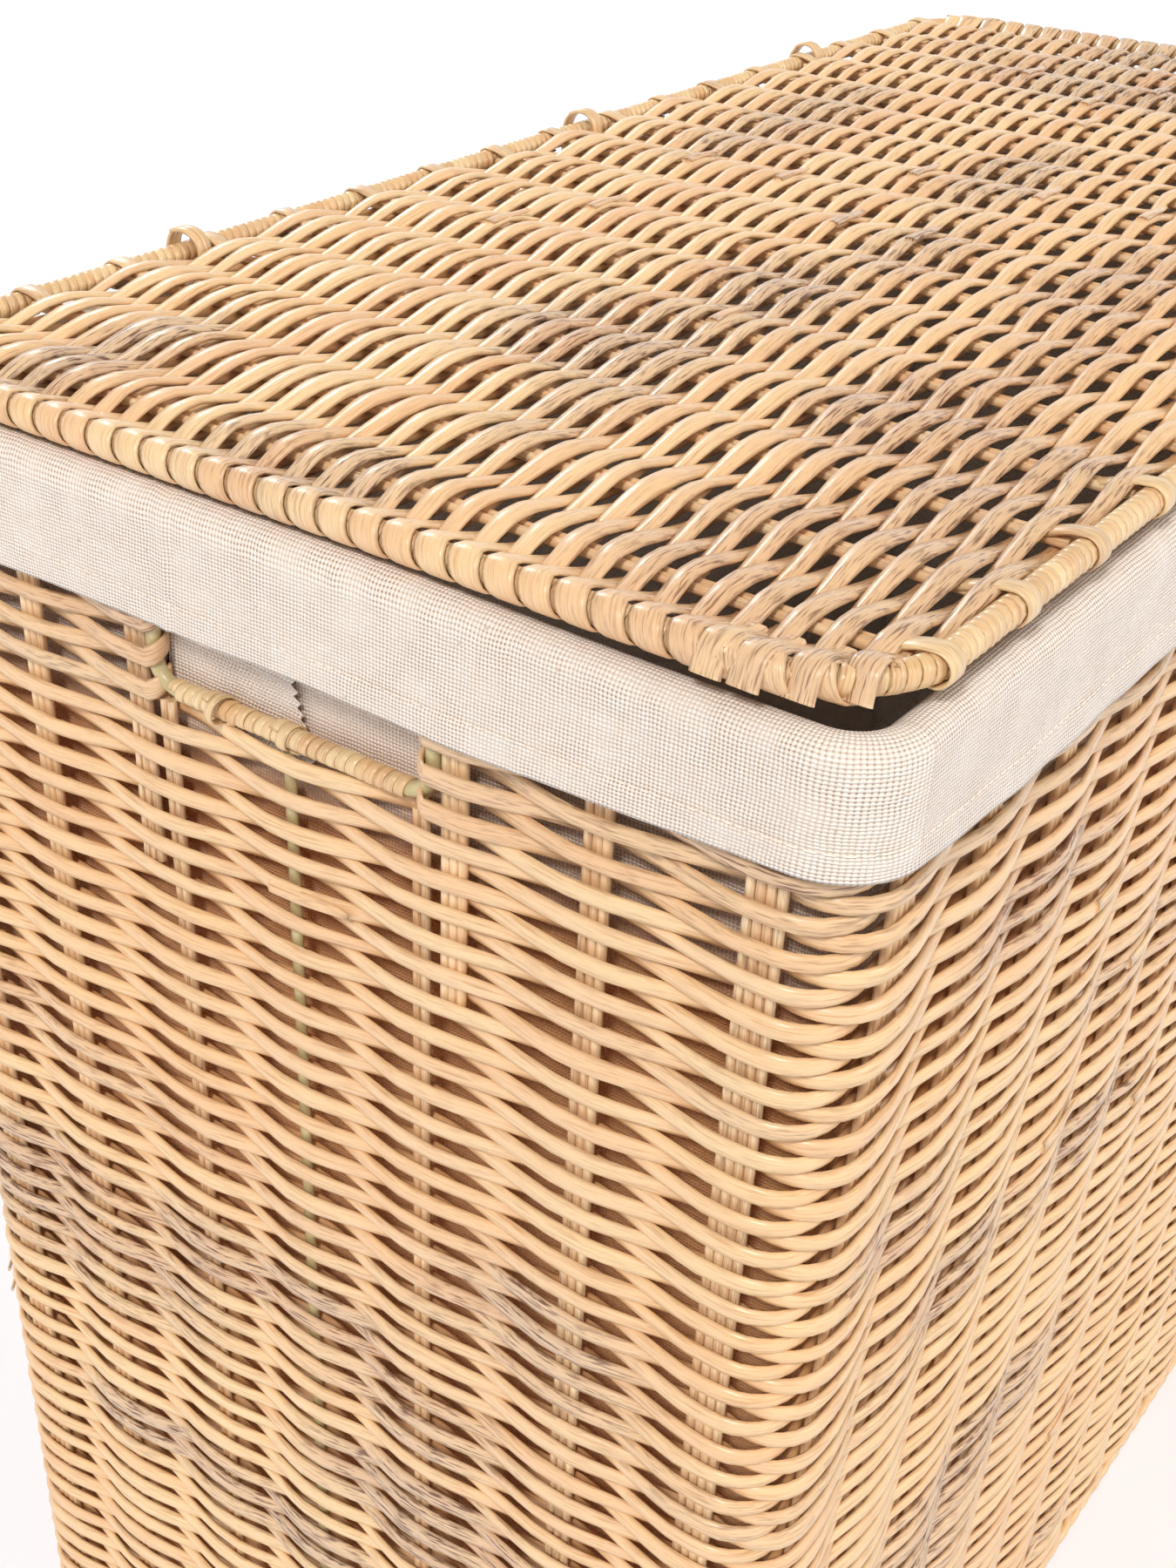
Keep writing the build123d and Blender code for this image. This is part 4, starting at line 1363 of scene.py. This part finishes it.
# %% Materials on frame nodes
ends = ("left", "right")
rim_scales = ((300, 300, 900), (400, 400, 1500), (60, 60, 200))
rim_cane = rattan("cane_peel_rim", stick_place, stick_tone, rim_scales, 0.3, *cane_colours)
finishes = {
    upright_core: ["front_stakes", "back_stakes"]
    + [f"{end}_{kind}" for kind in ("end_stakes", "slot_posts") for end in ends],
    crosswise_core: ["lid_stakes", "base_stakes"],
    beige_wire: [f"{end}_{kind}" for kind in ("slot_wire", "end_wire") for end in ends]
    + ["rim_wire", "base_wire", "lid_wire"],
    rim_cane: ["rim_binding"],
}
for material, nodes in finishes.items():
    for node in nodes:
        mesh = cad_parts[node].data
        mesh.materials.clear()
        mesh.materials.append(material)
print("frame nodes shown", sum(len(nodes) for nodes in finishes.values()))

# %% [markdown]
# ## Floor
#
# The floor is pale and matt, like the paper sweep of a studio. A flat sheet would show its far edge
# against the sky, so it is a dish: flat round the basket, and curved up to a low wall further out.


# %% Floor
def pale_floor():
    """Matt white studio floor with a trace of unevenness."""
    material, surface = new_material("pale_studio_floor")
    place = add_node(material, "TexCoord").outputs["Object"]
    cloud = add_node(material, "TexNoise", None, Vector=place, Scale=0.8, Detail=2.0)
    cloudy = ranged(material, cloud.outputs[0], 0.3, 0.7)
    colour = mixed(material, cloudy, linear("#f3f7fe"), linear("#eef2f9"))
    join(material, colour, surface, "Base Color")
    surface.inputs["Roughness"].default_value = 0.9
    surface.inputs["Specular IOR Level"].default_value = 0.1
    return material


FLAT_REACH, CURVE, WALL_TOP = 4, 2, 2.6     # metres
SPOKES = 96
BELOW_FEET = 0.0002
curve_turn = np.linspace(0.1, 1, 14) * math.pi / 2
reach = np.concatenate([[0.02, 1, 2, 3, 4], FLAT_REACH + CURVE * np.sin(curve_turn), [6.02]])
rise = np.concatenate([np.zeros(5), CURVE * (1 - np.cos(curve_turn)), [WALL_TOP]]) - BELOW_FEET
spokes = np.linspace(0, 2 * math.pi, SPOKES, endpoint=False)
level_x, level_y = np.outer(reach, np.cos(spokes)), np.outer(reach, np.sin(spokes))
dish = np.stack([level_x, level_y, np.outer(rise, 1 + 0 * spokes)], -1)
dish_faces = grid_corners(len(reach), SPOKES, False, True)[0][:, ::-1]
floor_mesh = bpy.data.meshes.new("studio_floor")
floor_mesh.from_pydata(dish.reshape(-1, 3).tolist(), [], dish_faces.tolist())
floor_mesh.shade_smooth()
floor_mesh.materials.append(pale_floor())
floor = bpy.data.objects.new("studio_floor", floor_mesh)
bpy.context.scene.collection.objects.link(floor)
print("floor reaches", reach[-1], "metres from the middle")

# %% [markdown]
# ## Light
#
# Light is soft and bright from all round, and a little warm. A broad key from the upper left shapes
# the reeds, a weaker and still broader light comes from the front right, and a back light gives the
# lid its sheen. Suns are used because they light the basket and the floor alike at any distance.


# %% Lights
def aim(obj, place, target):
    """Puts an object at a place and points its -Z axis at the target."""
    obj.location = place
    obj.rotation_euler = (Vector(target) - Vector(place)).to_track_quat("-Z", "Y").to_euler()


BASKET_MIDDLE = (0, 0, 0.3)


def sun(name, place, strength, angle, colour):
    """A sun lamp: even light over the floor, with soft shadows from its wide angle."""
    lamp = bpy.data.lights.new(name, "SUN")
    lamp.energy = strength
    lamp.angle = math.radians(angle)
    lamp.color = linear(colour)[:3]
    obj = bpy.data.objects.new(name, lamp)
    bpy.context.scene.collection.objects.link(obj)
    aim(obj, place, BASKET_MIDDLE)


sun("key_light", (-3.0, -0.9, 3.6), 1.82, 12, "#fffcf8")
sun("side_light", (1.0, -3.4, 2.4), 0.85, 24, "#ffffff")
sun("back_light", (2.6, 3.2, 2.6), 0.62, 10, "#fffefc")
world = bpy.data.worlds.new("studio_light")
bpy.context.scene.world = world
world.use_nodes = True
background = world.node_tree.nodes["Background"]
background.inputs["Color"].default_value = linear("#fff9f3")
background.inputs["Strength"].default_value = 0.56
bpy.context.scene.view_settings.view_transform = "Standard"

# %% [markdown]
# ## Camera
#
# The camera stands near the left end, above the lid, and looks down along the basket. Its direction
# is built from three angles: a turn about the vertical, a tip downwards and a small roll.

# %% Camera
IMAGE_LONG_SIDE = 1800
FOCAL_LENGTH = 2350            # in the same units as the image's side
SENSOR = 36
camera_data = bpy.data.cameras.new("camera")
camera_data.sensor_width = SENSOR
camera_data.lens = SENSOR * FOCAL_LENGTH / IMAGE_LONG_SIDE
camera_data.shift_x = 0.053
camera_data.shift_y = -0.0156
camera_data.clip_start = 0.01
camera = bpy.data.objects.new("camera", camera_data)
bpy.context.scene.collection.objects.link(camera)
bpy.context.scene.camera = camera
camera.location = (-0.694, -0.3325, 0.7901)
turn, tip, roll = math.radians(36.8), math.radians(30.38), math.radians(1.28)
look = np.array([math.cos(tip) * math.cos(turn), math.cos(tip) * math.sin(turn), -math.sin(tip)])
level_right = unit(np.cross(look, up_axis))
level_up = np.cross(level_right, look)
right = math.cos(roll) * level_right + math.sin(roll) * level_up
up = math.cos(roll) * level_up - math.sin(roll) * level_right
camera.rotation_euler = Matrix(np.stack([right, up, -look], 1).tolist()).to_euler()
print("camera at", tuple(camera.location), "lens", camera_data.lens)
